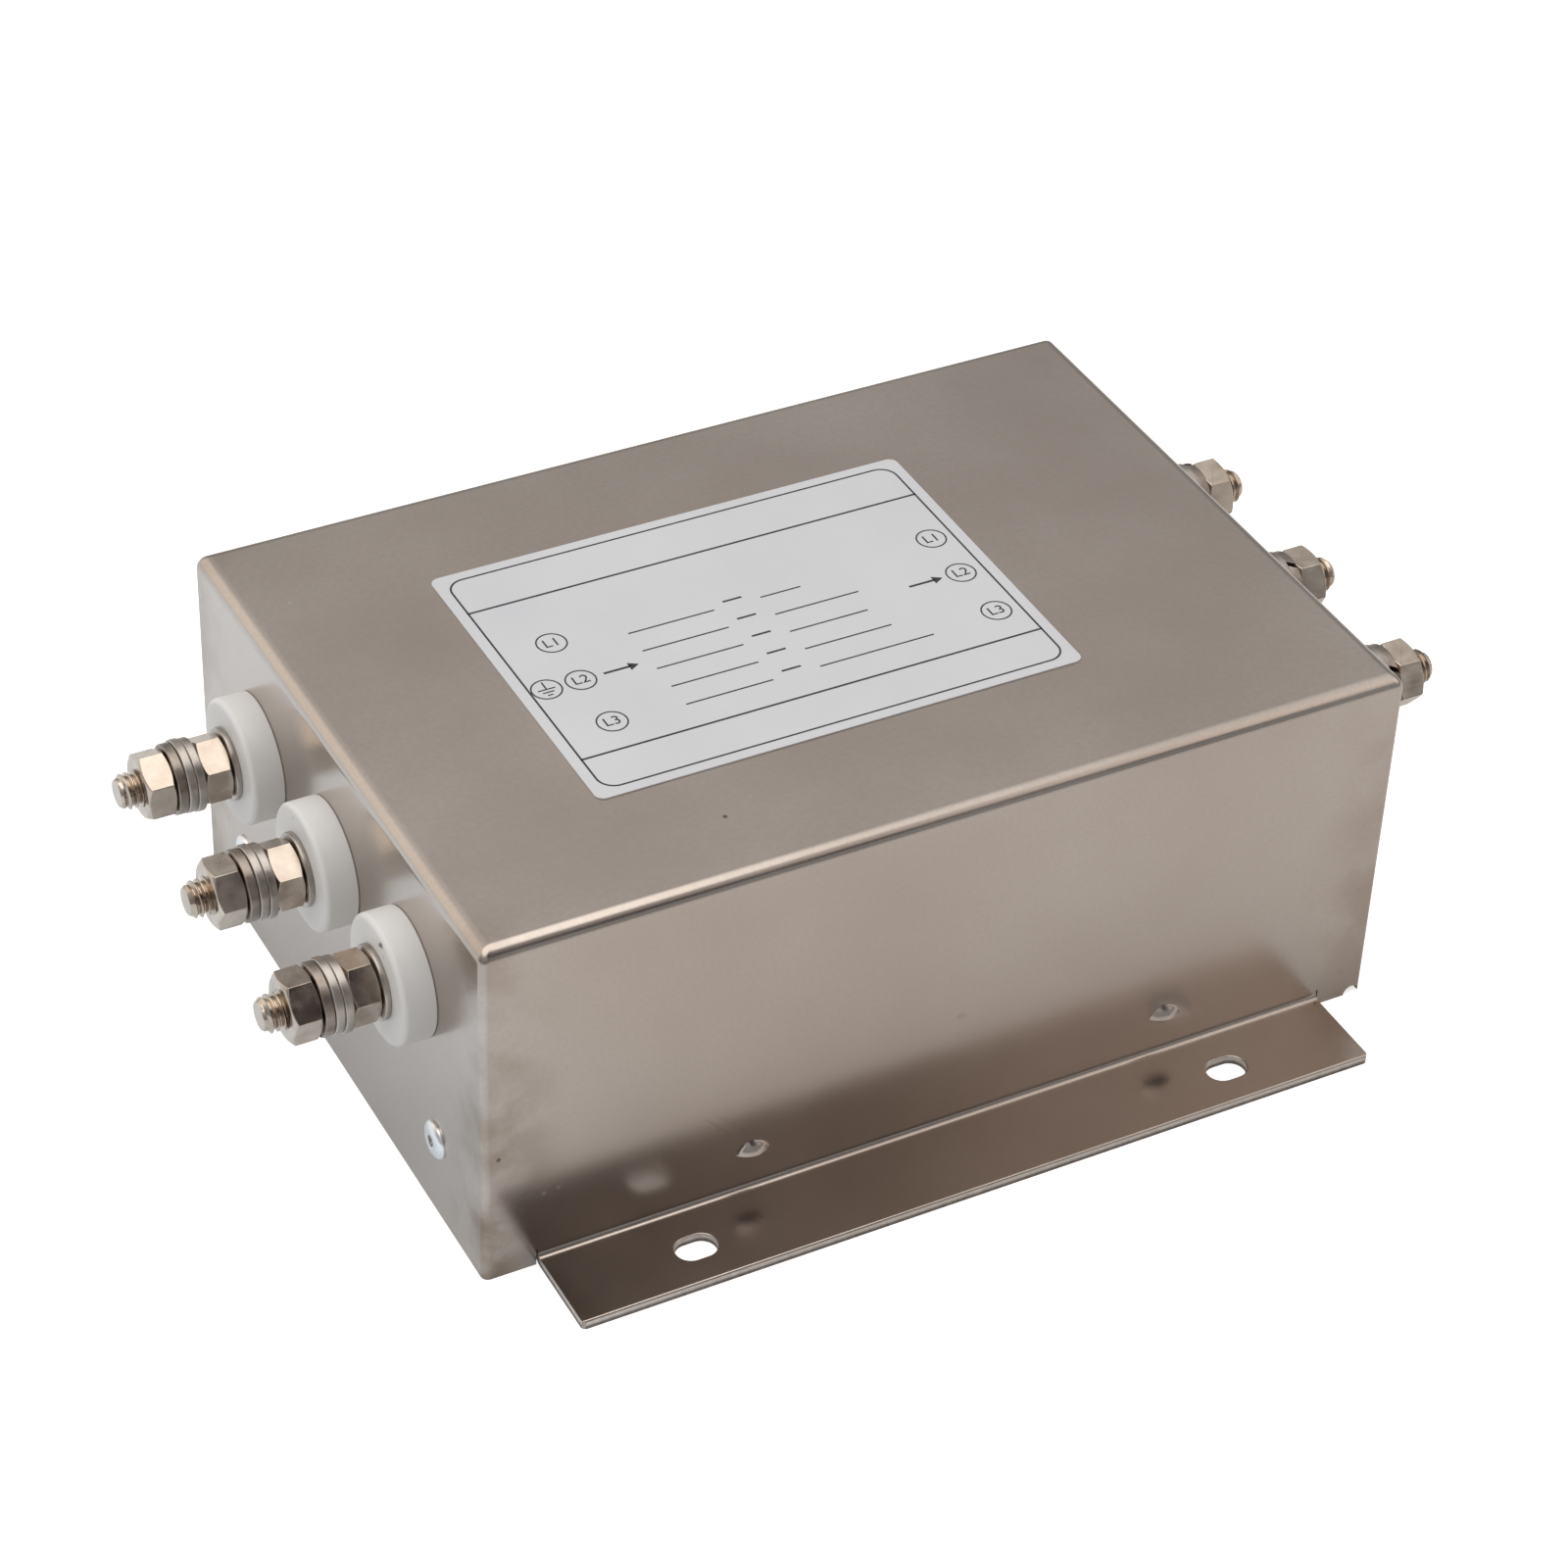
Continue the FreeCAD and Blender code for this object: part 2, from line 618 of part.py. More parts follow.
def on_slot_rim(edge):
    box = edge.BoundBox
    return (
        near(box.ZMin, "wall")
        and near(box.ZMax, "wall")
        and abs(abs(box.Center.x) - number("slot_pitch / 2")) < number("slot_length / 2")
        and abs(abs(box.Center.y) - number("slot_row / 2")) < number("slot_width / 2 + wall / 4")
        and box.XLength < number("slot_length")
    )


round_edges(shell, "slot_roll", on_slot_rim)

# Holes for the insulator spigots and the rivets in both end walls.
holes = new_sketch(shell, "YZ_Plane")
for row in ROWS:
    draw_circle(holes, row, "stud_height", "wall_hole")
for y in ("-rivet_spread / 2", "rivet_spread / 2"):
    draw_circle(holes, y, "rivet_height", "rivet_hole")
pocket(shell, holes, "box_length + 2 * overcut", symmetric=True)

# Lances: each long wall has two half-moon bumps pressed outwards above a straight lip.
# A bump is the upper half of a shallow spherical cap, hollow behind, with an open mouth below.
LANCES = ("-lance_left", "lance_right")
SIDES = ("-", "")
for side in SIDES:
    for middle in LANCES:
        bump = new_sketch(shell, "XY_Plane", "lance_middle", "%s(box_width / 2)" % side, middle)
        draw_cap(bump, "lance_round", "lance_reach", side)
        revolve(shell, bump, "V_Axis", "180", reverse=True)
below = new_sketch(shell, "XY_Plane", "lance_lip")
for side in SIDES:
    for middle in LANCES:
        draw_box(
            below,
            "%s - lance_round - overcut" % middle,
            "%s + lance_round + overcut" % middle,
            "%s(box_width / 2 + %s)" % (side, "lance_reach + overcut" if side else "0"),
            "%s(box_width / 2 + %s)" % (side, "0" if side else "lance_reach + overcut"),
        )
pocket(shell, below, "lance_round")
for side in SIDES:
    for middle in LANCES:
        back = new_sketch(
            shell, "XY_Plane", "lance_middle", "%s(box_width / 2 - wall)" % side, middle
        )
        draw_cap(back, "lance_round - lance_edge", "lance_reach - lance_thinning", side)
        groove(shell, back, "V_Axis", "180", reverse=True)
mouths = new_sketch(shell, "XZ_Plane")
for middle in LANCES:
    draw_sagging_arc(mouths, middle, "lance_lip", "lance_mouth", "lance_mouth_drop")
pocket(shell, mouths, "box_width + 2 * overcut", symmetric=True)
nodes["housing_shell"] = shell

# Bottom cover: a flat plate between the long walls, with a tab folded up at each end.
cover = new_body("bottom_cover")
plate = new_sketch(cover, "XY_Plane", "cover_recess")
draw_box(
    plate,
    "-(box_length / 2 - wall - cover_bend - cover_relief)",
    "box_length / 2 - wall - cover_bend - cover_relief",
    "-(box_width / 2 - wall - cover_gap)",
    "box_width / 2 - wall - cover_gap",
)
pad(cover, plate, "cover_thickness")
channel = new_sketch(cover, "XZ_Plane")
draw_polygon(channel, [
    ("-(box_length / 2 - wall)", "cover_recess"),
    ("box_length / 2 - wall", "cover_recess"),
    ("box_length / 2 - wall", "tab_height"),
    ("box_length / 2 - wall - cover_thickness", "tab_height"),
    ("box_length / 2 - wall - cover_thickness", "cover_recess + cover_thickness"),
    ("-(box_length / 2 - wall - cover_thickness)", "cover_recess + cover_thickness"),
    ("-(box_length / 2 - wall - cover_thickness)", "tab_height"),
    ("-(box_length / 2 - wall)", "tab_height"),
])
pad(cover, channel, "tab_width", symmetric=True)


def along_fold(edge, x_formula, z_formula):
    box = edge.BoundBox
    return (
        near(box.YLength, "tab_width")
        and near(abs(box.Center.x), x_formula)
        and near(box.Center.z, z_formula)
    )


round_edges(
    cover,
    "cover_bend",
    lambda edge: along_fold(edge, "box_length / 2 - wall", "cover_recess"),
)
round_edges(
    cover,
    "cover_bend - cover_thickness",
    lambda edge: along_fold(
        edge, "box_length / 2 - wall - cover_thickness", "cover_recess + cover_thickness"
    ),
)
round_edges(
    cover,
    "tab_round",
    lambda edge: near(edge.BoundBox.XLength, "cover_thickness")
    and near(edge.BoundBox.ZMin, "tab_height"),
)
tab_holes = new_sketch(cover, "YZ_Plane")
for y in ("-rivet_spread / 2", "rivet_spread / 2"):
    draw_circle(tab_holes, y, "rivet_height", "rivet_hole")
pocket(cover, tab_holes, "box_length + 2 * overcut", symmetric=True)
nodes["bottom_cover"] = cover

# Blind rivets: the head is outside the end wall, the set end inside the cover's tab.
RIVET_GRIP = "-(wall + cover_thickness)"
RIVET_END = "-(wall + cover_thickness + rivet_bulge_length)"
MANDREL_END = "%s - mandrel_knob_length" % RIVET_END
rivet = new_body("rivet_master")
turned_along_x(rivet, [
    (RIVET_END, "mandrel_diameter / 2 + mandrel_play"),
    ("rivet_head_rise", "mandrel_diameter / 2 + mandrel_play"),
    ("rivet_head_rise", "rivet_head / 2"),
    ("0", "rivet_head / 2"),
    ("0", "rivet_shank / 2"),
    (RIVET_GRIP, "rivet_shank / 2"),
    (RIVET_GRIP, "rivet_bulge / 2"),
    ("%s + rivet_bulge_round" % RIVET_END, "rivet_bulge / 2"),
    (RIVET_END, "rivet_bulge / 2 - rivet_bulge_round"),
])
round_edges(
    rivet,
    "rivet_head_round",
    lambda edge: near(edge.BoundBox.XMin, "rivet_head_rise")
    and near(edge.BoundBox.YMax, "rivet_head / 2"),
)
mandrel = new_body("mandrel_master")
turned_along_x(mandrel, [
    (MANDREL_END, "0"),
    ("rivet_head_rise - mandrel_sink", "0"),
    ("rivet_head_rise - mandrel_sink", "mandrel_diameter / 2"),
    (RIVET_END, "mandrel_diameter / 2"),
    (RIVET_END, "mandrel_knob / 2"),
    ("%s + mandrel_knob_bevel" % MANDREL_END, "mandrel_knob / 2"),
    (MANDREL_END, "mandrel_knob / 2 - mandrel_knob_bevel"),
])


def at_rivets(label, master):
    copies = []
    for y in ("-rivet_spread / 2", "rivet_spread / 2"):
        copies.append((master, "-box_length / 2", y, "rivet_height", HALF_TURN))
        copies.append((master, "box_length / 2", y, "rivet_height", STRAIGHT))
    nodes[label] = finished(label, copies)


at_rivets("blind_rivets", rivet)
at_rivets("rivet_mandrels", mandrel)

# Rating label, lying on the top face.
label = new_body("rating_label")
label_outline = new_sketch(label, "XY_Plane")
draw_box(
    label_outline, "-label_length / 2", "label_length / 2", "-label_width / 2", "label_width / 2"
)
pad(label, label_outline, "label_thickness")
round_edges(label, "label_round", lambda edge: near(edge.BoundBox.ZLength, "label_thickness"))
place(label, "label_shift_x", "label_shift_y", "box_height")
nodes["rating_label"] = label

# Terminal pieces. Every master lies on the X axis, outwards is +X.
outer_insulator = new_body("outer_insulator_master")
turned_along_x(outer_insulator, [
    ("-spigot_length", "stud_clearance / 2"),
    ("disc_thickness", "stud_clearance / 2"),
    ("disc_thickness", "disc_diameter / 2"),
    ("0", "disc_diameter / 2"),
    ("0", "spigot_diameter / 2"),
    ("-spigot_length", "spigot_diameter / 2"),
])
round_edges(
    outer_insulator,
    "disc_round",
    lambda edge: near(edge.BoundBox.XMin, "disc_thickness")
    and near(edge.BoundBox.YMax, "disc_diameter / 2"),
)
inner_insulator = new_body("inner_insulator_master")
turned_along_x(inner_insulator, [
    ("-wall", "wall_hole / 2"),
    ("-wall", "inner_disc_diameter / 2"),
    ("-(wall + inner_disc_thickness)", "inner_disc_diameter / 2"),
    ("-(wall + inner_disc_thickness)", "stud_clearance / 2"),
    ("-spigot_length", "stud_clearance / 2"),
    ("-spigot_length", "wall_hole / 2"),
])
INSIDE = "-(wall + inner_disc_thickness + seat_washer_thickness + lug_thickness)"
STUD_TAIL = "%s - nut_thickness - stud_tail" % INSIDE
FLAT_ONE = "disc_thickness + seat_washer_thickness + nut_thickness"
FLAT_TWO = "%s + flat_washer_thickness" % FLAT_ONE
SPRING = "%s + flat_washer_thickness" % FLAT_TWO
CLAMP = "%s + spring_thickness" % SPRING
stud = new_body("stud_master")
turned_along_x(stud, [
    (STUD_TAIL, "0"),
    ("stud_reach", "0"),
    ("stud_reach", "stud_diameter / 2 - stud_chamfer"),
    ("stud_reach - stud_chamfer", "stud_diameter / 2"),
    ("%s + nut_thickness" % CLAMP, "stud_diameter / 2"),
    ("%s + nut_thickness" % CLAMP, "stud_core / 2"),
    ("%s + stud_chamfer" % STUD_TAIL, "stud_core / 2"),
    (STUD_TAIL, "stud_core / 2 - stud_chamfer"),
])


def washer(label, thickness):
    body = new_body(label)
    turned_along_x(body, [
        ("0", "washer_bore / 2"),
        (thickness, "washer_bore / 2"),
        (thickness, "washer_diameter / 2"),
        ("0", "washer_diameter / 2"),
    ])
    return body


def hexagon_nut(label, flats, face, thickness, bore):
    """A hexagon nut along +X, its corners turned down to a cone at both faces."""
    body = new_body(label)
    corner = "%s / sqrt(3)" % flats
    sketch = new_sketch(body, "YZ_Plane")
    draw_polygon(sketch, [
        (corner, "0"),
        ("%s / 2" % corner, "%s / 2" % flats),
        ("-(%s / 2)" % corner, "%s / 2" % flats),
        ("-(%s)" % corner, "0"),
        ("-(%s / 2)" % corner, "-(%s / 2)" % flats),
        ("%s / 2" % corner, "-(%s / 2)" % flats),
    ])
    draw_circle(sketch, "0", "0", bore)
    pad(body, sketch, thickness)
    cones = new_sketch(body, "XY_Plane")
    face_radius = "%s / 2" % face
    outside = "%s + overcut" % corner
    drop = "(%s - %s) * tan(30)" % (outside, face_radius)
    draw_polygon(cones, [("0", face_radius), ("0", outside), (drop, outside)])
    draw_polygon(cones, [
        (thickness, face_radius),
        (thickness, outside),
        ("%s - %s" % (thickness, drop), outside),
    ])
    groove(body, cones, "H_Axis")
    return body


seat_washer = washer("seat_washer_master", "seat_washer_thickness")
flat_washer = washer("flat_washer_master", "flat_washer_thickness")
nut = hexagon_nut("nut_master", "nut_flats", "nut_face", "nut_thickness", "nut_bore")

# Split spring washer: a flat-pressed ring with a slanting gap.
spring = new_body("spring_master")
turned_along_x(spring, [
    ("0", "washer_bore / 2"),
    ("spring_thickness", "washer_bore / 2"),
    ("spring_thickness", "spring_diameter / 2"),
    ("0", "spring_diameter / 2"),
])
split = new_sketch(spring, "XY_Plane")
slant = "(spring_thickness / 2 + overcut) * tan(spring_lean)"
draw_polygon(split, [
    ("-overcut", "-(%s) - spring_gap / 2" % slant),
    ("spring_thickness + overcut", "%s - spring_gap / 2" % slant),
    ("spring_thickness + overcut", "%s + spring_gap / 2" % slant),
    ("-overcut", "-(%s) + spring_gap / 2" % slant),
])
pocket(spring, split, "spring_diameter", reverse=True)

# Wire lug: a ring tongue that hangs down inside the wall, with its barrel on the inner side.
lug = new_body("lug_master")
tongue = new_sketch(lug, "YZ_Plane")
draw_circle(tongue, "0", "0", "washer_diameter")
draw_circle(tongue, "0", "0", "stud_clearance")
pad(lug, tongue, "lug_thickness")
strap = new_sketch(lug, "YZ_Plane")
draw_box(
    strap,
    "-barrel_diameter / 2",
    "barrel_diameter / 2",
    "-(lug_drop + strap_lap)",
    "-(stud_clearance / 2 + strap_root)",
)
pad(lug, strap, "lug_thickness")
barrel = new_sketch(lug, "XY_Plane", "-(lug_drop + barrel_length)")
draw_circle(barrel, "lug_thickness - barrel_diameter / 2", "0", "barrel_diameter")
pad(lug, barrel, "barrel_length")

# Turns about the stud, in degrees, of the nuts and splits as they were left when tightened.
LEVEL = [0, 0, 0, 0, 0, 0]
SEAT_NUT_TURNS = [28, 28, 10, 5, 40, 20]
SPLIT_TURNS = [-150, -140, -55, 70, 110, 130]
CLAMP_NUT_TURNS = [28, 4, 10, 12, 2, 8]
INSIDE_NUT_TURNS = [15, 32, 7, 22, 48, 3]
at_terminals("terminal_insulators", outer_insulator, "0", LEVEL)
at_terminals("inner_insulators", inner_insulator, "0", LEVEL)
at_terminals("terminal_studs", stud, "0", LEVEL)
at_terminals("seat_washers", seat_washer, "disc_thickness", LEVEL)
at_terminals("seat_nuts", nut, "disc_thickness + seat_washer_thickness", SEAT_NUT_TURNS)
at_terminals("spring_washers", spring, SPRING, SPLIT_TURNS)
at_terminals("clamp_nuts", nut, CLAMP, CLAMP_NUT_TURNS)
INNER_FACE = "-(wall + inner_disc_thickness + seat_washer_thickness)"
at_terminals("inside_washers", seat_washer, INNER_FACE, LEVEL)
at_terminals("wire_lugs", lug, INSIDE, LEVEL)
at_terminals("inside_nuts", nut, "%s - nut_thickness" % INSIDE, INSIDE_NUT_TURNS)

# The two flat washers of a stud are clamped a little off its axis, each its own way.
flat_copies = []
for index, row in enumerate(ROWS):
    for station, level in ((FLAT_ONE, "stud_height - washer_sag"),
                           (FLAT_TWO, "stud_height + washer_lift")):
        left_x = "-(box_length / 2 + %s)" % station
        right_x = "box_length / 2 + %s" % station
        flat_copies.append((flat_washer, left_x, row, level, HALF_TURN))
        flat_copies.append((flat_washer, right_x, row, level, STRAIGHT))
nodes["flat_washers"] = finished("flat_washers", flat_copies)

# Circuit board on its standoffs.
board = new_body("circuit_board")
board_outline = new_sketch(board, "XY_Plane", "board_height")
draw_box(
    board_outline, "-board_length / 2", "board_length / 2", "-board_width / 2", "board_width / 2"
)
pad(board, board_outline, "board_thickness")
drillings = new_sketch(board, "XY_Plane", "board_height")
for x in ("-standoff_x", "standoff_x"):
    for y in ("-standoff_y", "standoff_y"):
        draw_circle(drillings, x, y, "screw_hole")
draw_circle(drillings, "choke_x", "0", "bolt_bore")
CAP_ROWS = ("-film_cap_pitch", "0", "film_cap_pitch")
RESISTOR_ROWS = ("-film_cap_pitch / 2", "film_cap_pitch / 2", "film_cap_pitch * 1.5")
for row in CAP_ROWS:
    draw_circle(drillings, "film_cap_x - film_leg_pitch / 2", row, "leg_hole")
    draw_circle(drillings, "film_cap_x + film_leg_pitch / 2", row, "leg_hole")
    draw_circle(drillings, "earth_cap_x", "%s - earth_leg_pitch / 2" % row, "leg_hole")
    draw_circle(drillings, "earth_cap_x", "%s + earth_leg_pitch / 2" % row, "leg_hole")
for row in RESISTOR_ROWS:
    draw_circle(drillings, "film_cap_x - resistor_leg_pitch / 2", row, "leg_hole")
    draw_circle(drillings, "film_cap_x + resistor_leg_pitch / 2", row, "leg_hole")
pocket(board, drillings, "board_thickness", reverse=True)
nodes["circuit_board"] = board

standoff = new_body("standoff_master")
turned_along_z(standoff, [
    ("0", "cover_recess + cover_thickness"),
    ("standoff_diameter / 2", "cover_recess + cover_thickness"),
    ("standoff_diameter / 2", "board_height"),
    ("screw_diameter / 2 + screw_play", "board_height"),
    ("screw_diameter / 2 + screw_play", "board_height - screw_depth - screw_hole_spare"),
    ("0", "board_height - screw_depth - screw_hole_spare"),
])
board_screw = new_body("board_screw_master")
turned_along_z(board_screw, [
    ("0", "board_height - screw_depth"),
    ("screw_diameter / 2", "board_height - screw_depth"),
    ("screw_diameter / 2", "board_height + board_thickness"),
    ("screw_head / 2", "board_height + board_thickness"),
    ("screw_head / 2", "board_height + board_thickness + screw_head_edge"),
    ("screw_head_top / 2", "board_height + board_thickness + screw_head_rise"),
    ("0", "board_height + board_thickness + screw_head_rise"),
])
for name, master in (("board_standoffs", standoff), ("board_screws", board_screw)):
    copies = []
    for x in ("-standoff_x", "standoff_x"):
        for y in ("-standoff_y", "standoff_y"):
            copies.append((master, x, y, "0", STRAIGHT))
    nodes[name] = finished(name, copies)

# Choke: every piece is drawn about the Z axis with the board's upper face at zero.
BOARD_TOP = "board_height + board_thickness"
CASE_FOOT = "base_thickness + coil_wire + coil_fit"
CASE_RISE = "core_height + 2 * case_wall + 2 * case_fit"
CASE_OUT = "core_outer / 2 + case_fit + case_wall"
CASE_IN = "core_inner / 2 - case_fit - case_wall"
COIL_TOP = "%s + %s + coil_fit + coil_wire" % (CASE_FOOT, CASE_RISE)


def choke_piece(label, corners):
    body = new_body(label)
    turned_along_z(body, corners)
    place(body, "choke_x", "0", BOARD_TOP)
    nodes[label] = body
    return body


choke_piece("choke_base", [
    ("bolt_bore / 2", "0"),
    ("base_diameter / 2", "0"),
    ("base_diameter / 2", "base_thickness"),
    ("bolt_bore / 2", "base_thickness"),
])
choke_piece("core_case_tray", [
    (CASE_IN, CASE_FOOT),
    (CASE_OUT, CASE_FOOT),
    (CASE_OUT, "%s + %s - case_wall" % (CASE_FOOT, CASE_RISE)),
    ("%s - case_wall" % CASE_OUT, "%s + %s - case_wall" % (CASE_FOOT, CASE_RISE)),
    ("%s - case_wall" % CASE_OUT, "%s + case_wall" % CASE_FOOT),
    ("%s + case_wall" % CASE_IN, "%s + case_wall" % CASE_FOOT),
    ("%s + case_wall" % CASE_IN, "%s + %s - case_wall" % (CASE_FOOT, CASE_RISE)),
    (CASE_IN, "%s + %s - case_wall" % (CASE_FOOT, CASE_RISE)),
])
choke_piece("core_case_lid", [
    (CASE_IN, "%s + %s - case_wall" % (CASE_FOOT, CASE_RISE)),
    (CASE_OUT, "%s + %s - case_wall" % (CASE_FOOT, CASE_RISE)),
    (CASE_OUT, "%s + %s" % (CASE_FOOT, CASE_RISE)),
    (CASE_IN, "%s + %s" % (CASE_FOOT, CASE_RISE)),
])
choke_piece("choke_core", [
    ("core_inner / 2", "%s + case_wall" % CASE_FOOT),
    ("core_outer / 2", "%s + case_wall" % CASE_FOOT),
    ("core_outer / 2", "%s + case_wall + core_height" % CASE_FOOT),
    ("core_inner / 2", "%s + case_wall + core_height" % CASE_FOOT),
])
choke_piece("choke_clamp_disc", [
    ("bolt_bore / 2", COIL_TOP),
    ("clamp_disc / 2", COIL_TOP),
    ("clamp_disc / 2", "%s + clamp_disc_thickness" % COIL_TOP),
    ("bolt_bore / 2", "%s + clamp_disc_thickness" % COIL_TOP),
])
choke_piece("choke_bolt", [
    ("0", "-(board_thickness + bolt_head_rise)"),
    ("bolt_head / 2", "-(board_thickness + bolt_head_rise)"),
    ("bolt_head / 2", "-board_thickness"),
    ("choke_bolt / 2", "-board_thickness"),
    ("choke_bolt / 2", "%s + clamp_disc_thickness + bolt_nut_rise + bolt_tail" % COIL_TOP),
    ("0", "%s + clamp_disc_thickness + bolt_nut_rise + bolt_tail" % COIL_TOP),
])
bolt_nut = hexagon_nut(
    "bolt_nut_master", "bolt_nut_flats", "bolt_nut_face", "bolt_nut_rise", "bolt_nut_bore"
)
nodes["choke_nut"] = finished("choke_nut", [
    (bolt_nut, "choke_x", "0", "%s + %s + clamp_disc_thickness" % (BOARD_TOP, COIL_TOP),
     FreeCAD.Rotation(V(0, 1, 0), -90)),
])

# Phase separator: a hub with three arms that reach the core case between the windings.
separator = new_body("phase_separator")
hub = new_sketch(separator, "XY_Plane", "base_thickness")
draw_circle(hub, "0", "0", "hub_diameter")
pad(separator, hub, "%s - base_thickness" % COIL_TOP)
arm = new_sketch(separator, "XY_Plane", "base_thickness")
draw_box(arm, "hub_diameter / 4", "%s - coil_fit" % CASE_IN, "-spacer_wall / 2", "spacer_wall / 2")
arm_pad = pad(separator, arm, "%s - base_thickness" % COIL_TOP)
arms = separator.newObject("PartDesign::PolarPattern", "separator_arms")
arms.Originals = [arm_pad]
arms.Axis = (hub, ["N_Axis"])
arms.Angle = 360
arms.Occurrences = 3
separator.Tip = arms
doc.recompute()
hub_bore = new_sketch(separator, "XY_Plane", "base_thickness")
draw_circle(hub_bore, "0", "0", "bolt_bore")
pocket(separator, hub_bore, "%s - base_thickness" % COIL_TOP, reverse=True)
place(separator, "choke_x", "0", BOARD_TOP)
nodes["phase_separator"] = separator

# Windings: one wound layer all round the case's section, each over its own part of the ring.
for index, turn in enumerate((60, 180, 300)):
    winding = new_body("choke_winding_%d" % (index + 1))
    section = new_sketch(winding, "XZ_Plane")
    draw_box(
        section,
        "%s - coil_fit - coil_wire" % CASE_IN,
        "%s + coil_fit + coil_wire" % CASE_OUT,
        "base_thickness",
        COIL_TOP,
    )
    draw_box(
        section,
        "%s - coil_fit" % CASE_IN,
        "%s + coil_fit" % CASE_OUT,
        "%s - coil_fit" % CASE_FOOT,
        "%s + %s + coil_fit" % (CASE_FOOT, CASE_RISE),
    )
    revolve(winding, section, "V_Axis", "coil_angle", symmetric=True)
    round_edges(
        winding,
        "coil_round",
        lambda edge: near(edge.BoundBox.ZLength, "0")
        and (near(edge.BoundBox.ZMin, "base_thickness") or near(edge.BoundBox.ZMin, COIL_TOP))
        and isinstance(edge.Curve, Part.Circle),
    )
    winding.Placement.Rotation = FreeCAD.Rotation(V(0, 0, 1), turn)
    place(winding, "choke_x", "0", BOARD_TOP)
    nodes[winding.Label] = winding


def moulded_block(label, length, depth, height, leg_pitch):
    """A box capacitor standing on the board, its two legs through it, long side along X."""
    body = new_body(label)
    foot = new_sketch(body, "XY_Plane")
    draw_box(
        foot, "-(%s) / 2" % length, "%s / 2" % length, "-(%s) / 2" % depth, "%s / 2" % depth
    )
    pad(body, foot, height)
    round_edges(body, "leg_diameter", lambda edge: near(edge.BoundBox.ZLength, height))
    legs = new_sketch(body, "XY_Plane")
    draw_circle(legs, "-(%s) / 2" % leg_pitch, "0", "leg_diameter")
    draw_circle(legs, "%s / 2" % leg_pitch, "0", "leg_diameter")
    pad(body, legs, "leg_length", reverse=True)
    return body


film_cap = moulded_block(
    "film_cap_master", "film_cap_length", "film_cap_depth", "film_cap_height", "film_leg_pitch"
)
earth_cap = moulded_block(
    "earth_cap_master",
    "earth_cap_length",
    "earth_cap_depth",
    "earth_cap_height",
    "earth_leg_pitch",
)
resistor = new_body("resistor_master")
turned_along_x(resistor, [
    ("-(resistor_leg_pitch + leg_diameter) / 2", "0"),
    ("(resistor_leg_pitch + leg_diameter) / 2", "0"),
    ("(resistor_leg_pitch + leg_diameter) / 2", "leg_diameter / 2"),
    ("resistor_length / 2", "leg_diameter / 2"),
    ("resistor_length / 2", "resistor_diameter / 2"),
    ("-resistor_length / 2", "resistor_diameter / 2"),
    ("-resistor_length / 2", "leg_diameter / 2"),
    ("-(resistor_leg_pitch + leg_diameter) / 2", "leg_diameter / 2"),
])
resistor_legs = new_sketch(resistor, "XY_Plane")
draw_circle(resistor_legs, "-resistor_leg_pitch / 2", "0", "leg_diameter")
draw_circle(resistor_legs, "resistor_leg_pitch / 2", "0", "leg_diameter")
pad(resistor, resistor_legs, "resistor_diameter / 2 + leg_length", reverse=True)
ACROSS = FreeCAD.Rotation(V(0, 0, 1), 90)
nodes["film_capacitors"] = finished(
    "film_capacitors", [(film_cap, "film_cap_x", row, BOARD_TOP, STRAIGHT) for row in CAP_ROWS]
)
nodes["earth_capacitors"] = finished(
    "earth_capacitors", [(earth_cap, "earth_cap_x", row, BOARD_TOP, ACROSS) for row in CAP_ROWS]
)
nodes["bleed_resistors"] = finished("bleed_resistors", [
    (resistor, "film_cap_x", row, "%s + resistor_diameter / 2" % BOARD_TOP, STRAIGHT)
    for row in RESISTOR_ROWS
])

# Leads: each drops from its lug, swings in over the board and drops onto it.
lead = new_body("lead_master")
route = new_sketch(lead, "XZ_Plane")
LUG_FOOT = "stud_height - lug_drop - barrel_length"
START_X = "box_length / 2 %s + lug_thickness - barrel_diameter / 2" % INSIDE
bend = number("lead_bend")
start = V(number(START_X), number(LUG_FOOT), 0)
landing = V(number("lead_landing"), number(BOARD_TOP), 0)
first_end = start - V(0, number("lead_start"), 0)
first_middle = first_end - V(bend, 0, 0)
run_start = first_middle - V(0, bend, 0)
last_middle = V(landing.x + bend, run_start.y - bend, 0)
run_end = last_middle + V(0, bend, 0)
last_start = last_middle - V(bend, 0, 0)
quarter = math.pi / 2
route.addGeometry(Part.LineSegment(start, first_end), False)
first_circle = Part.Circle(first_middle, V(0, 0, 1), bend)
route.addGeometry(Part.ArcOfCircle(first_circle, -quarter, 0), False)
route.addGeometry(Part.LineSegment(run_start, run_end), False)
last_circle = Part.Circle(last_middle, V(0, 0, 1), bend)
route.addGeometry(Part.ArcOfCircle(last_circle, quarter, 2 * quarter), False)
route.addGeometry(Part.LineSegment(last_start, landing), False)
route.addConstraint(Sketcher.Constraint("Tangent", 0, 2, 1, 2))
route.addConstraint(Sketcher.Constraint("Tangent", 1, 1, 2, 1))
route.addConstraint(Sketcher.Constraint("Tangent", 2, 2, 3, 1))
route.addConstraint(Sketcher.Constraint("Tangent", 3, 2, 4, 1))
route.addConstraint(Sketcher.Constraint("Vertical", 0))
route.addConstraint(Sketcher.Constraint("Horizontal", 2))
route.addConstraint(Sketcher.Constraint("Vertical", 4))
route.addConstraint(Sketcher.Constraint("Equal", 1, 3))
pin_point(route, 0, 1, START_X, LUG_FOOT)
pin_point(route, 4, 2, "lead_landing", BOARD_TOP)
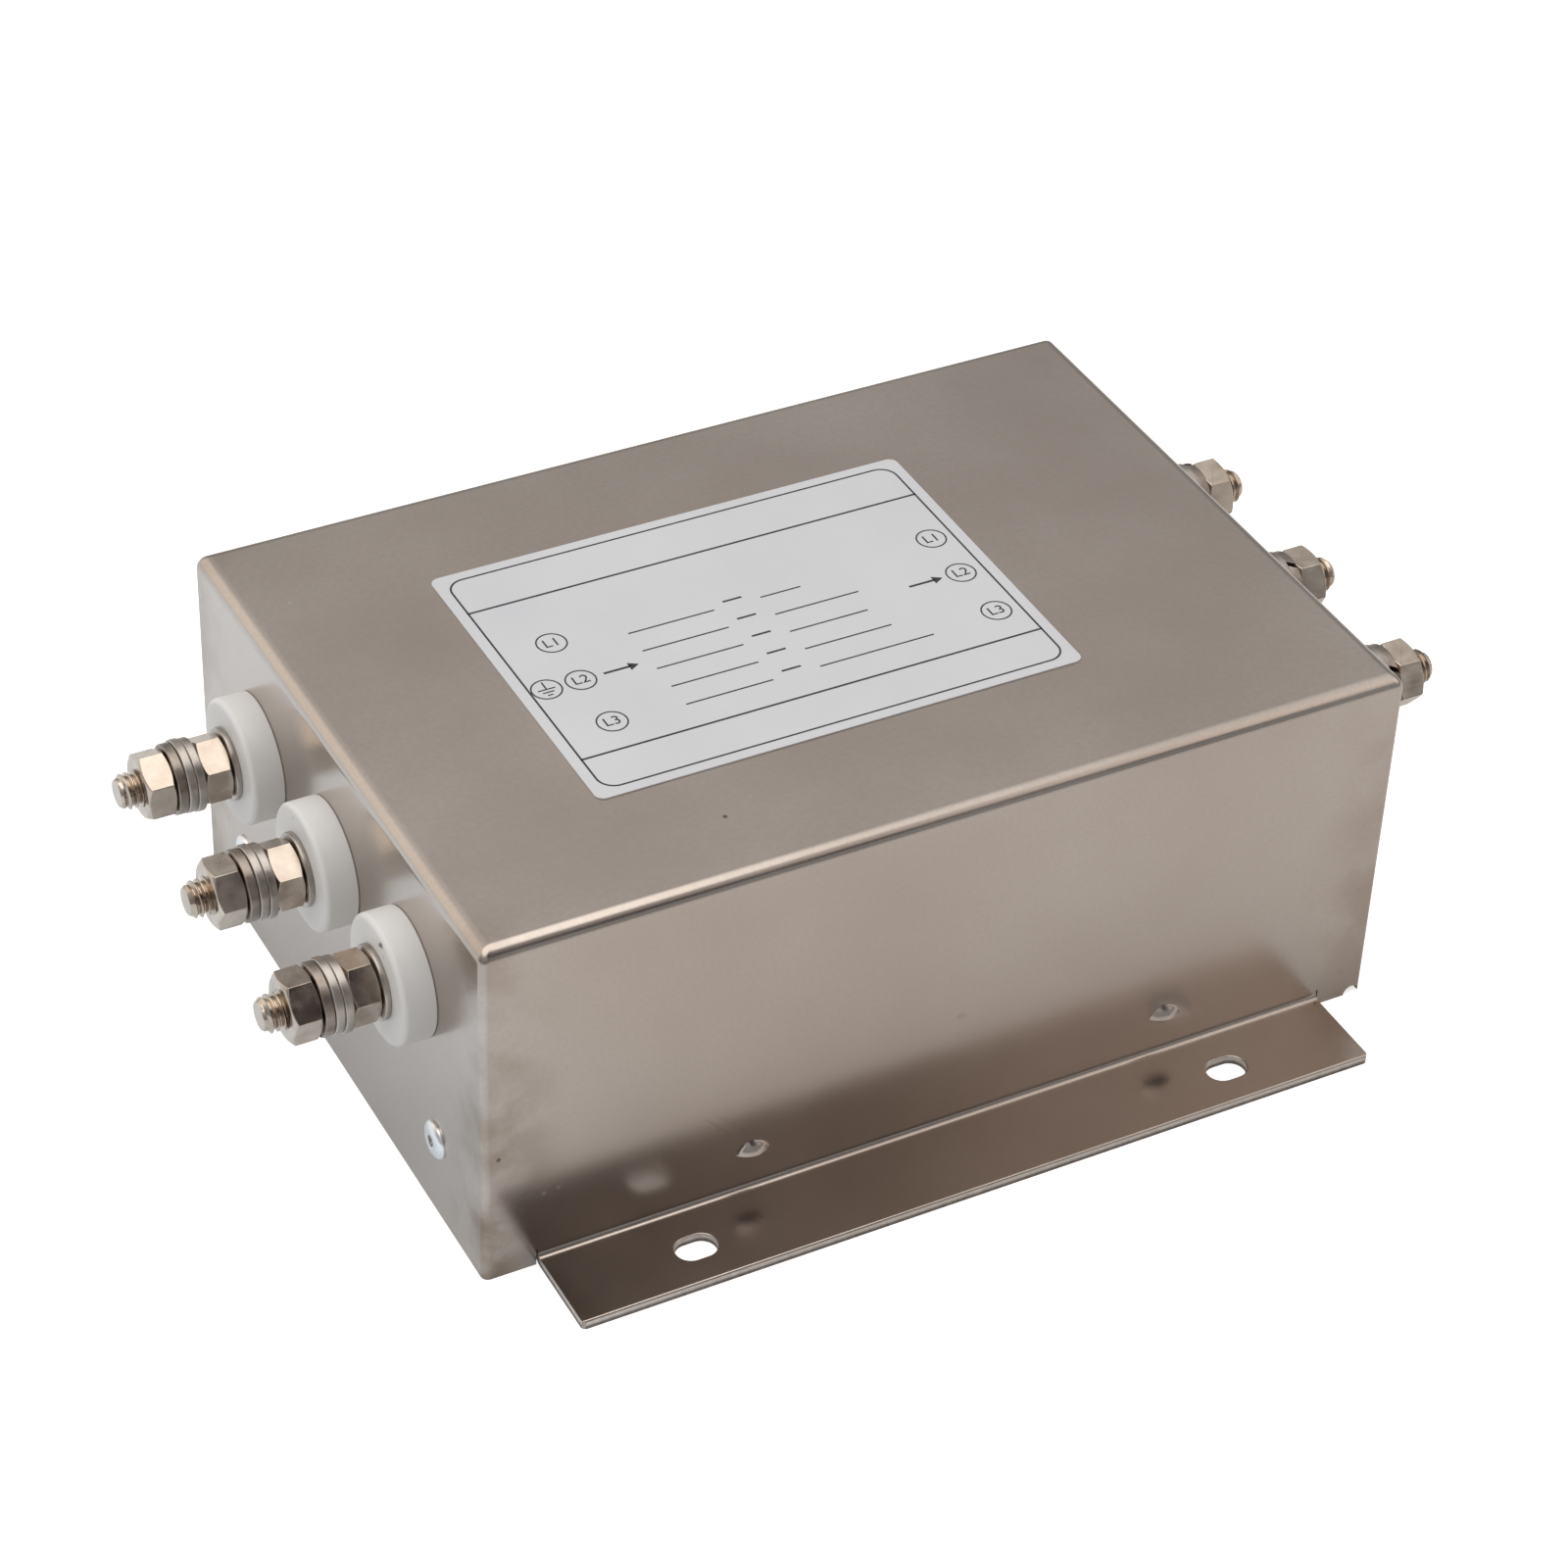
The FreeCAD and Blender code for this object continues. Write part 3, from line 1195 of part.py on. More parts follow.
rule = route.addConstraint(Sketcher.Constraint("Radius", 1, bend))
route.setExpression("Constraints[%d]" % rule, bound("lead_bend"))
rule = route.addConstraint(Sketcher.Constraint("DistanceY", 0, 2, 0, 1, number("lead_start")))
route.setExpression("Constraints[%d]" % rule, bound("lead_start"))
section = new_sketch(lead, "XY_Plane", LUG_FOOT)
draw_circle(section, START_X, "0", "lead_diameter")
doc.recompute()
sweep = lead.newObject("PartDesign::AdditivePipe", "lead_sweep")
sweep.Profile = section
sweep.Spine = (route, ["Edge1", "Edge2", "Edge3", "Edge4", "Edge5"])
doc.recompute()
path_length = sum(edge.Length for edge in route.Shape.Edges)
path_volume = path_length * math.pi * number("lead_diameter / 2") ** 2
print("lead: bends of radius %.1f mm, section times length %.1f mm3, solid %.1f mm3"
      % (bend, path_volume, lead.Shape.Volume))
nodes["input_leads"] = finished("input_leads", [(lead, "0", row, "0", HALF_TURN) for row in ROWS])
nodes["output_leads"] = finished("output_leads", [(lead, "0", row, "0", STRAIGHT) for row in ROWS])

# Everything must have been worked out before a file is written.
doc.recompute()
for item in doc.Objects:
    if "Invalid" in item.State or "Error" in item.State:
        raise RuntimeError("%s could not be worked out: %s" % (item.Label, item.State))
for name, item in nodes.items():
    if item.Shape.isNull() or not item.Shape.isValid():
        raise RuntimeError("%s has no valid shape" % name)
os.makedirs("parts", exist_ok=True)
for name, item in nodes.items():
    item.Shape.exportStep("parts/%s.step" % name)
    print("%-22s %2d solids %9.1f mm3" % (name, len(item.Shape.Solids), item.Shape.Volume))
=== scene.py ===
# %% [markdown]
# # A three-phase line filter
# The real object is a folded, nickel-coloured steel box on two slotted flanges. Three screw
# terminals on white insulators stand on each end, and a pale label lies on the top.
# The frame holds every piece at its true size. This lesson gives each piece its finish and
# remodels the small turned parts, whose rounded edges catch the light.

# %% Load the frame
import bmesh
import bpy
import math
from mathutils import Matrix, Vector


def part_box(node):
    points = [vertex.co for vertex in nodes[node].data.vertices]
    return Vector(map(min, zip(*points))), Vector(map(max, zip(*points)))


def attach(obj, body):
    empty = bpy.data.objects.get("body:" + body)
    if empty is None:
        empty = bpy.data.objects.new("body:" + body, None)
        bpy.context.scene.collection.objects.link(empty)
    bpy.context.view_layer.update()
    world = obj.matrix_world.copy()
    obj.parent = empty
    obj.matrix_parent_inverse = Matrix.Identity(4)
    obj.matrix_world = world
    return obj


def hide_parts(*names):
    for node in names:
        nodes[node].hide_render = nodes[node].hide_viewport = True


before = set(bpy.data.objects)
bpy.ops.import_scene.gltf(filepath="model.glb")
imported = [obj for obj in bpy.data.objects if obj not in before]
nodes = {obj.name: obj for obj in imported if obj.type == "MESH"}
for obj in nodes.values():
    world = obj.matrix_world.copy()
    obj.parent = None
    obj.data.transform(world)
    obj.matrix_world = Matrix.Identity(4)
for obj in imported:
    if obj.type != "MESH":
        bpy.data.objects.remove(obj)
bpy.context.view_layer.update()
print("nodes in the frame:", len(nodes))

# %% [markdown]
# ## Units and shared places
# Blender counts in metres, but a maker thinks of this box in millimetres, so one value turns
# millimetres into metres. The terminal axes and the walls are read from the frame's boxes, so
# that the new pieces land exactly where the frame has them.

# %% Places taken from the frame
MM = 0.001


def corner_values(name):
    low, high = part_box(name)
    return Vector(low), Vector(high)


stud_low, stud_high = corner_values("terminal_studs")
STUD_RADIUS = 3.0 * MM
STUD_HEIGHT = (stud_low.z + stud_high.z) / 2
STUD_PITCH = (stud_high.y - stud_low.y) / 2 - STUD_RADIUS
TIP_X = stud_high.x
disc_low, disc_high = corner_values("terminal_insulators")
DISC_RADIUS = (disc_high.z - disc_low.z) / 2
DISC_THICKNESS = 5.4 * MM
WALL_X = disc_high.x - DISC_THICKNESS
shell_high = corner_values("housing_shell")[1]
ROWS = (STUD_PITCH, 0.0, -STUD_PITCH)
print("terminal axes in mm: height", round(STUD_HEIGHT / MM, 2), "pitch", round(STUD_PITCH / MM, 2))

# %% [markdown]
# ## Small helpers
# An operator works on everything that is selected, and the frame arrives selected. So each
# piece starts from an empty selection. Faces, edges and points are then chosen in code by a
# test on their place, as a modeller would click them.

# %% Selection helpers


def start_clean():
    if bpy.context.mode != "OBJECT":
        bpy.ops.object.mode_set(mode="OBJECT")
    bpy.ops.object.select_all(action="DESELECT")


def only(piece):
    start_clean()
    piece.select_set(True)
    bpy.context.view_layer.objects.active = piece


def name_active(name):
    piece = bpy.context.active_object
    piece.name = name
    piece.data.name = name
    return piece


def choose(piece, kind, test):
    """In edit mode, select the points, edges or faces that pass the test."""
    bpy.ops.mesh.select_mode(type=kind)
    bpy.ops.mesh.select_all(action="DESELECT")
    mesh = bmesh.from_edit_mesh(piece.data)
    groups = {"VERT": mesh.verts, "EDGE": mesh.edges, "FACE": mesh.faces}
    count = 0
    for item in groups[kind]:
        if test(item):
            item.select_set(True)
            count += 1
    mesh.select_flush_mode()
    bmesh.update_edit_mesh(piece.data)
    return count


# %% [markdown]
# A finished mesh has no doubled points, and all its faces look outwards. Its flat faces should
# shade flat up to a narrow rounding, as on real metal. A weighted normal does that: the large
# faces decide the shading beside them.

# %% Mesh helpers


def settle(piece):
    """Put the object's place, turn and scale into its mesh."""
    only(piece)
    bpy.ops.object.transform_apply(location=True, rotation=True, scale=True)


def apply_modifier(piece, kind, **settings):
    only(piece)
    modifier = piece.modifiers.new(kind.title(), kind)
    for name, value in settings.items():
        setattr(modifier, name, value)
    bpy.ops.object.modifier_apply(modifier=modifier.name)


def smooth(piece, degrees):
    only(piece)
    bpy.ops.object.shade_smooth_by_angle(angle=math.radians(degrees))


def keep_flats_flat(piece, degrees):
    smooth(piece, degrees)
    apply_modifier(piece, "WEIGHTED_NORMAL", keep_sharp=True, weight=80)


def tidy_surface(piece, distance=0.002 * MM):
    """Merge doubled points and turn every face outwards."""
    only(piece)
    bpy.ops.object.mode_set(mode="EDIT")
    bpy.ops.mesh.select_all(action="SELECT")
    bpy.ops.mesh.remove_doubles(threshold=distance)
    bpy.ops.mesh.normals_make_consistent(inside=False)
    bpy.ops.object.mode_set(mode="OBJECT")


# %% [markdown]
# Each finished piece rides on the frame's one body and stands for the node that it remodels.

# %% Finishing helpers


def paint(piece, finish):
    piece.data.materials.clear()
    piece.data.materials.append(finish)


def finish_piece(piece, node, finish):
    """Ride on the frame, stand for the frame's node and take its finish."""
    paint(piece, finish)
    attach(piece, "root")
    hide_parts(node)
    print(piece.name, "has", len(piece.data.polygons), "faces")


# %% [markdown]
# ## Finishes: a way to write node materials
# A finish that stays believable from close by has a little variation: the sheet is cloudier
# in some places, rougher in others. The variation comes from noise on Object coordinates.
# It therefore sticks to the part when the part is turned.

# %% Pattern nodes


def new_finish(name):
    finish = bpy.data.materials.new(name)
    finish.use_nodes = True
    tree = finish.node_tree
    print("finish:", name)
    return finish, tree, tree.nodes["Principled BSDF"]


def position(tree):
    return tree.nodes.new("ShaderNodeTexCoord").outputs["Object"]


def position_axis(tree, axis):
    split = tree.nodes.new("ShaderNodeSeparateXYZ")
    tree.links.new(position(tree), split.inputs["Vector"])
    return split.outputs[axis]


def add_noise(tree, scale, detail=4.0, roughness=0.55, stretch=(1.0, 1.0, 1.0)):
    mapping = tree.nodes.new("ShaderNodeMapping")
    mapping.inputs["Scale"].default_value = stretch
    noise = tree.nodes.new("ShaderNodeTexNoise")
    noise.inputs["Scale"].default_value = scale
    noise.inputs["Detail"].default_value = detail
    noise.inputs["Roughness"].default_value = roughness
    tree.links.new(position(tree), mapping.inputs["Vector"])
    tree.links.new(mapping.outputs["Vector"], noise.inputs["Vector"])
    return noise.outputs["Fac"]


# %% [markdown]
# A ramp turns a value into a colour. A range turns it into another value, with soft ends, so
# that no mask shows a hard border.

# %% Ramp, range and arithmetic nodes


def add_ramp(tree, value, stops):
    ramp = tree.nodes.new("ShaderNodeValToRGB")
    while len(ramp.color_ramp.elements) < len(stops):
        ramp.color_ramp.elements.new(0.5)
    for element, (place, colour) in zip(ramp.color_ramp.elements, stops):
        element.position = place
        element.color = (*colour, 1.0)
    tree.links.new(value, ramp.inputs["Fac"])
    return ramp.outputs["Color"]


def add_range(tree, value, low, high, to_low, to_high):
    change = tree.nodes.new("ShaderNodeMapRange")
    change.interpolation_type = "SMOOTHSTEP"
    change.inputs["From Min"].default_value = low
    change.inputs["From Max"].default_value = high
    change.inputs["To Min"].default_value = to_low
    change.inputs["To Max"].default_value = to_high
    tree.links.new(value, change.inputs["Value"])
    return change.outputs["Result"]


def add_math(tree, operation, first, second=None):
    step = tree.nodes.new("ShaderNodeMath")
    step.operation = operation
    for socket, value in zip(step.inputs, (first, second)):
        if value is None:
            continue
        if isinstance(value, (int, float)):
            socket.default_value = value
        else:
            tree.links.new(value, socket)
    return step.outputs["Value"]


# %% [markdown]
# Colours are laid over each other by a share between 0 and 1. A bump only tilts the light: it
# is for grain too fine to model. A spot is one small mark at a measured place.

# %% Mix, bump and spot nodes


def add_mix(tree, share, first, second):
    mix = tree.nodes.new("ShaderNodeMix")
    mix.data_type = "RGBA"
    tree.links.new(share, mix.inputs[0])
    for socket, value in ((mix.inputs[6], first), (mix.inputs[7], second)):
        if isinstance(value, tuple):
            socket.default_value = (*value, 1.0)
        else:
            tree.links.new(value, socket)
    return mix.outputs[2]


def add_bump(tree, shader, height, strength, distance, under=None):
    """Tilt the light by a height; a second bump can lie on top of a first one."""
    bump = tree.nodes.new("ShaderNodeBump")
    bump.inputs["Strength"].default_value = strength
    bump.inputs["Distance"].default_value = distance
    tree.links.new(height, bump.inputs["Height"])
    if under:
        tree.links.new(under, bump.inputs["Normal"])
    tree.links.new(bump.outputs["Normal"], shader.inputs["Normal"])
    return bump.outputs["Normal"]


def add_spot(tree, under, place, radius, colour):
    """One small mark, its place and radius in millimetres."""
    away = tree.nodes.new("ShaderNodeVectorMath")
    away.operation = "DISTANCE"
    away.inputs[1].default_value = [value * MM for value in place]
    tree.links.new(position(tree), away.inputs[0])
    share = add_range(
        tree, away.outputs["Value"], 0.5 * radius * MM, radius * MM, 0.85, 0.0
    )
    return add_mix(tree, share, under, colour)


# %% [markdown]
# ## The sheet's finish
# The box is steel with a satin, warm grey nickel coat. One flat colour would look like paint,
# so two close colours are mixed by a wide, cloudy noise, and a fine dark grain lies over them.

# %% Nickel sheet: colour
GRAIN_COLOUR = (0.40, 0.345, 0.30)
sheet_finish, tree, shader = new_finish("satin_nickel_sheet")
cloud = add_noise(tree, 22.0, 3.0)
sheet_colour = add_ramp(
    tree, cloud, [(0.30, (0.478, 0.412, 0.364)), (0.72, (0.543, 0.480, 0.433))]
)
grain = add_range(tree, add_noise(tree, 1400.0, 2.0), 0.35, 0.65, 0.0, 0.16)
sheet_colour = add_mix(tree, grain, sheet_colour, GRAIN_COLOUR)

# %% [markdown]
# The box's corner seams were ground, which left a brown tint beside them. The tint's mask is
# the nearness to the upright corners, broken up by noise. It fades upwards and to the right,
# where the real box is cleaner. A few brown specks lie low on the walls.

# %% Nickel sheet: tint at the ground corners
BOX_HALF_X = shell_high.x
BOX_HALF_Y = 55.0 * MM
STAIN_REACH = 16.0 * MM
STAIN_COLOUR = (0.27, 0.205, 0.155)
SPECK_COLOUR = (0.27, 0.20, 0.15)


def near_sides(axis, half):
    """0 in the middle of the box, rising to 1 at its two sides on this axis."""
    from_middle = add_math(tree, "ABSOLUTE", position_axis(tree, axis))
    return add_range(tree, from_middle, half - STAIN_REACH, half, 0.0, 1.0)


stain = add_math(
    tree, "MULTIPLY", near_sides("X", BOX_HALF_X), near_sides("Y", BOX_HALF_Y)
)
for share in (
    add_range(tree, add_noise(tree, 75.0, 6.0), 0.34, 0.62, 0.0, 1.0),
    add_range(tree, position_axis(tree, "Z"), 8.0 * MM, 56.0 * MM, 1.0, 0.40),
    add_range(tree, position_axis(tree, "X"), -60.0 * MM, 60.0 * MM, 1.0, 0.50),
):
    stain = add_math(tree, "MULTIPLY", stain, share)
sheet_colour = add_mix(tree, stain, sheet_colour, STAIN_COLOUR)
specks = add_range(tree, add_noise(tree, 210.0, 6.0), 0.70, 0.76, 0.0, 0.35)
low_down = add_range(tree, position_axis(tree, "Z"), 10.0 * MM, 40.0 * MM, 1.0, 0.15)
specks = add_math(tree, "MULTIPLY", specks, low_down)
sheet_colour = add_mix(tree, specks, sheet_colour, SPECK_COLOUR)

# %% [markdown]
# A used box carries a few single nicks and specks. Noise can't put them where they belong, so
# each is one spot at its own place: low at the front left, and on the top.

# %% Nickel sheet: nicks and specks
LIGHT_NICK = (0.80, 0.76, 0.70)
FAINT_NICK = (0.61, 0.55, 0.49)
DARK_SPECK = (0.13, 0.10, 0.08)
SHEET_MARKS = (
    ((-69.0, -55.0, 14.2), 0.45, LIGHT_NICK), ((-66.6, -55.0, 14.4), 0.35, LIGHT_NICK),
    ((-72.5, -55.0, 12.1), 0.30, LIGHT_NICK), ((-76.4, -55.0, 23.9), 0.50, DARK_SPECK),
    ((-33.0, -41.1, 64.0), 0.50, DARK_SPECK), ((-70.4, 36.0, 64.0), 0.40, FAINT_NICK),
)
for place, radius, colour in SHEET_MARKS:
    sheet_colour = add_spot(tree, sheet_colour, place, radius, colour)
tree.links.new(sheet_colour, shader.inputs["Base Color"])
print("marks on the sheet:", len(SHEET_MARKS))

# %% [markdown]
# The coat's reflections are blurred over a centimetre or so. Its gloss follows the same cloudy
# noise as its colour, a little duller in the tint. A wide, shallow bump gives the sheet the
# faint waves of rolled steel, and a fine one its satin touch.

# %% Nickel sheet: gloss and waves
shader.inputs["Metallic"].default_value = 1.0
sheet_rough = add_range(tree, cloud, 0.3, 0.7, 0.20, 0.25)
sheet_rough = add_math(tree, "ADD", sheet_rough, add_math(tree, "MULTIPLY", stain, 0.02))
tree.links.new(sheet_rough, shader.inputs["Roughness"])
waves = add_bump(tree, shader, add_noise(tree, 16.0, 1.0), 1.0, 0.10 * MM)
add_bump(tree, shader, add_noise(tree, 420.0, 3.0), 0.07, 0.02 * MM, waves)
print("nodes in the sheet's finish:", len(tree.nodes))

# %% [markdown]
# A guillotine leaves a sheet's cut edge with fine streaks through the thickness. The blade
# first slides along the upper part of the edge, which stays bright, and then tears the lower
# part, which is dull and dark. The bright upper band is partly that burnish and partly a painted
# highlight, standing for the light on a rounded top edge that the shell lacks. So the colour
# changes with height, and the streaks are a noise that is drawn out in height.

# %% Cut edge
TORN_BELOW = 0.45 * MM
BURNISH_AND_HIGHLIGHT_ABOVE = 0.95 * MM
cut_edge, tree, shader = new_finish("sheared_edge")
streaks = add_noise(tree, 900.0, 3.0, 0.6, (1.0, 1.0, 0.3))
torn = add_ramp(tree, streaks, [(0.30, (0.17, 0.145, 0.13)), (0.70, (0.30, 0.26, 0.235))])
# Upper band of the edge: partly burnish, partly a painted highlight of a rounded top edge.
burnish_and_painted_highlight = add_ramp(tree, streaks, [(0.30, (0.60, 0.55, 0.50)), (0.70, (0.76, 0.71, 0.66))])
burnish_and_highlight_share = add_range(
    tree, position_axis(tree, "Z"), TORN_BELOW, BURNISH_AND_HIGHLIGHT_ABOVE, 0.0, 1.0
)
tree.links.new(add_mix(tree, burnish_and_highlight_share, torn, burnish_and_painted_highlight), shader.inputs["Base Color"])
shader.inputs["Metallic"].default_value = 1.0
tree.links.new(add_range(tree, streaks, 0.3, 0.7, 0.38, 0.55), shader.inputs["Roughness"])
add_bump(tree, shader, streaks, 0.4, 0.05 * MM)

# %% [markdown]
# ## Fittings, label film and ink
# The nuts and studs are bright nickel, smoother and warmer than the sheet. The washers are a
# duller nickel, the spring washers dark steel, darkened further as painted shade for the shadow
# between the clamp nut and the flat washers, and the rivets bare aluminium. The label is a cool,
# pale film, and its ink is nearly black. In all of them, colour and gloss follow one uneven
# pattern over a fine grain, so one function makes them.

# %% Uneven finishes


def uneven_finish(name, metallic, scale, stops, gloss, grain, strength, depth):
    """One pattern of this scale drives colour and gloss; the grain is a finer noise's bump."""
    finish, tree, shader = new_finish(name)
    pattern = add_noise(tree, scale)
    tree.links.new(add_ramp(tree, pattern, stops), shader.inputs["Base Color"])
    tree.links.new(add_range(tree, pattern, 0.3, 0.7, *gloss), shader.inputs["Roughness"])
    shader.inputs["Metallic"].default_value = metallic
    add_bump(tree, shader, add_noise(tree, *grain), strength, depth)
    return finish


bright_nickel = uneven_finish(
    "bright_nickel", 1.0, 260.0, [(0.30, (0.42, 0.345, 0.285)), (0.68, (0.63, 0.55, 0.465))],
    (0.18, 0.27), (900.0, 4.0), 0.35, 0.03 * MM,
)
washer_nickel = uneven_finish(
    "washer_nickel", 1.0, 300.0, [(0.25, (0.33, 0.295, 0.265)), (0.75, (0.52, 0.475, 0.435))],
    (0.28, 0.38), (800.0, 4.0), 0.35, 0.03 * MM,
)
# Spring washers: dark steel, made darker still as painted shade where they sit between the nut and
# the washers.
spring_steel_and_shade = uneven_finish(
    "spring_steel_and_shade", 1.0, 340.0, [(0.25, (0.20, 0.165, 0.14)), (0.75, (0.40, 0.345, 0.30))],
    (0.28, 0.38), (800.0, 4.0), 0.35, 0.03 * MM,
)
rivet_aluminium = uneven_finish(
    "rivet_aluminium", 1.0, 400.0, [(0.3, (0.76, 0.77, 0.78)), (0.7, (0.86, 0.86, 0.86))],
    (0.28, 0.38), (1100.0, 3.0), 0.15, 0.02 * MM,
)
label_film = uneven_finish(
    "label_film", 0.0, 35.0, [(0.3, (0.570, 0.580, 0.612)), (0.7, (0.612, 0.622, 0.645))],
    (0.34, 0.42), (180.0, 4.0), 0.08, 0.02 * MM,
)
label_ink = uneven_finish(
    "label_ink", 0.0, 500.0, [(0.3, (0.012, 0.012, 0.016)), (0.7, (0.03, 0.03, 0.035))],
    (0.40, 0.52), (500.0, 4.0), 0.05, 0.01 * MM,
)

# %% [markdown]
# ## Moulded insulators
# The insulators are white moulded nylon: milky, half matt, with the faint grain of the mould.
# The front left one has a dark smear near its rim, and a few specks sit on the others.

# %% White nylon
SMEAR_COLOUR = (0.05, 0.035, 0.03)
INSULATOR_MARKS = (
    ((-84.4, -31.6, 50.3), 0.65), ((-84.4, -30.9, 49.8), 0.45), ((-84.4, -32.4, 48.6), 0.18),
    ((-84.4, 2.2, 49.9), 0.20),
)
white_nylon, tree, shader = new_finish("white_nylon")
milk = add_noise(tree, 60.0, 3.0)
nylon_colour = add_ramp(
    tree, milk, [(0.3, (0.700, 0.698, 0.694)), (0.7, (0.750, 0.748, 0.745))]
)
for place, radius in INSULATOR_MARKS:
    nylon_colour = add_spot(tree, nylon_colour, place, radius, SMEAR_COLOUR)
tree.links.new(nylon_colour, shader.inputs["Base Color"])
tree.links.new(add_range(tree, milk, 0.3, 0.7, 0.38, 0.50), shader.inputs["Roughness"])
add_bump(tree, shader, add_noise(tree, 700.0, 3.0), 0.12, 0.02 * MM)

# %% [markdown]
# ## Hidden parts
# Everything inside the box is hidden until the bottom cover comes off. Its parts keep the
# frame's shapes and get workshop finishes: two close colours mixed by noise, an uneven gloss
# and a fine bump.

# %% Plain finishes for the hidden parts


def plain_finish(name, dark, light, roughness, metallic=0.0, scale=120.0):
    return uneven_finish(
        name, metallic, scale, [(0.3, dark), (0.7, light)],
        (roughness - 0.04, roughness + 0.06), (5 * scale, 4.0), 0.12, 0.02 * MM,
    )


zinc = plain_finish("zinc_sheet", (0.50, 0.50, 0.50), (0.60, 0.60, 0.59), 0.34, 1.0, 40.0)
tin = plain_finish("tin_plate", (0.62, 0.62, 0.61), (0.72, 0.72, 0.70), 0.3, 1.0)
green_mask = plain_finish("solder_mask", (0.02, 0.11, 0.04), (0.03, 0.15, 0.06), 0.35)
black = plain_finish("black_moulding", (0.012, 0.012, 0.013), (0.022, 0.022, 0.023), 0.5)
ferrite = plain_finish("ferrite", (0.035, 0.035, 0.038), (0.06, 0.06, 0.065), 0.6, 0.0, 500.0)
copper = plain_finish("enamelled_copper", (0.45, 0.13, 0.05), (0.56, 0.19, 0.08), 0.25, 0.8)
grey = plain_finish("grey_moulding", (0.30, 0.31, 0.32), (0.36, 0.37, 0.38), 0.45)
blue = plain_finish("blue_moulding", (0.02, 0.06, 0.22), (0.03, 0.09, 0.28), 0.4)
lacquer = plain_finish("tan_lacquer", (0.48, 0.36, 0.20), (0.56, 0.43, 0.26), 0.4)
sleeve = plain_finish("black_sleeve", (0.015, 0.015, 0.016), (0.03, 0.03, 0.03), 0.45)
dark_steel = plain_finish("dark_steel", (0.30, 0.29, 0.28), (0.42, 0.41, 0.40), 0.35, 1.0)

# %% [markdown]
# The frame's own nodes stay for all of these parts. Only their material is given here.

# %% Finishes on the hidden parts
hidden_parts = (
    (zinc, ("bottom_cover",)),
    (white_nylon, ("inner_insulators", "phase_separator")),
    (washer_nickel, ("inside_washers",)),
    (bright_nickel, ("inside_nuts", "board_standoffs", "board_screws", "choke_bolt",
                     "choke_nut")),
    (tin, ("wire_lugs",)),
    (green_mask, ("circuit_board",)),
    (black, ("choke_base", "core_case_tray", "core_case_lid", "choke_clamp_disc")),
    (ferrite, ("choke_core",)),
    (copper, ("choke_winding_1", "choke_winding_2", "choke_winding_3")),
    (grey, ("film_capacitors",)),
    (blue, ("earth_capacitors",)),
    (lacquer, ("bleed_resistors",)),
    (sleeve, ("input_leads", "output_leads")),
)
for finish, names in hidden_parts:
    for name in names:
        paint(nodes[name], finish)
print("hidden nodes finished:", sum(len(names) for finish, names in hidden_parts))

# %% [markdown]
# ## The folded shell
# The frame's shell has the true folds, slots and lances. Its triangles are loose, so light
# would break at each of them. A copy with merged points is shaded smooth up to an angle,
# and it then shows soft bends between flat walls.

# %% Shell


def smooth_copy(node, degrees):
    copy = nodes[node].copy()
    copy.data = nodes[node].data.copy()
    copy.name = node + "_finished"
    bpy.context.scene.collection.objects.link(copy)
    copy.parent = None
    copy.matrix_world = Matrix.Identity(4)
    for key in list(copy.keys()):
        del copy[key]
    only(copy)
    bpy.ops.object.mode_set(mode="EDIT")
    bpy.ops.mesh.select_all(action="SELECT")
    bpy.ops.mesh.remove_doubles(threshold=0.002 * MM)
    bpy.ops.mesh.dissolve_limited(angle_limit=math.radians(0.4))
    bpy.ops.object.mode_set(mode="OBJECT")
    keep_flats_flat(copy, degrees)
    return copy


shell = smooth_copy("housing_shell", 28)
finish_piece(shell, "housing_shell", sheet_finish)

# %% [markdown]
# The shell's second finish goes on its cut edges only: the ends and long edges of the
# flanges, the walls of the slots, and the foot of every wall. They are found by place and
# normal, selected in edit mode, and given the second material slot.

# %% Cut edges of the shell
FLANGE_EDGE = shell_high.y
FLANGE_END = 70.0 * MM
SHEET = 1.6 * MM
SLOT_X = 47.5 * MM
SLOT_Y = 63.5 * MM
SLOT_REACH_X = 3.6 * MM
SLOT_REACH_Y = 2.6 * MM


def is_cut_edge(face):
    spot = face.calc_center_median()
    low = spot.z < SHEET * 1.01
    upright = abs(face.normal.z) < 0.5
    long_edge = low and upright and abs(spot.y) > FLANGE_EDGE - 0.05 * MM
    near_end = abs(abs(spot.x) - FLANGE_END) < 1.0 * MM
    flange_end = low and abs(face.normal.x) > 0.9 and near_end
    in_slot = (
        abs(abs(spot.x) - SLOT_X) < SLOT_REACH_X and abs(abs(spot.y) - SLOT_Y) < SLOT_REACH_Y
    )
    slot_wall = low and upright and in_slot
    foot = face.normal.z < -0.9 and spot.z < 0.05 * MM and abs(spot.y) < BOX_HALF_Y
    return long_edge or flange_end or slot_wall or foot


shell.data.materials.append(cut_edge)
only(shell)
bpy.ops.object.mode_set(mode="EDIT")
cut_count = choose(shell, "FACE", is_cut_edge)
shell.active_material_index = 1
bpy.ops.object.material_slot_assign()
bpy.ops.object.mode_set(mode="OBJECT")
print("cut faces:", cut_count)

# %% [markdown]
# ## Turned rings
# Washers and insulators are all turned or moulded rings. A ring is quickest as a profile:
# one rectangle between the inner and the outer radius has its corners rounded, and is then
# spun about the terminal's axis, which is X here. Outwards is +X. An insulator's outer rim
# is rounder than its other corners, so it can be given its own radius.

# %% A ring from a spun profile


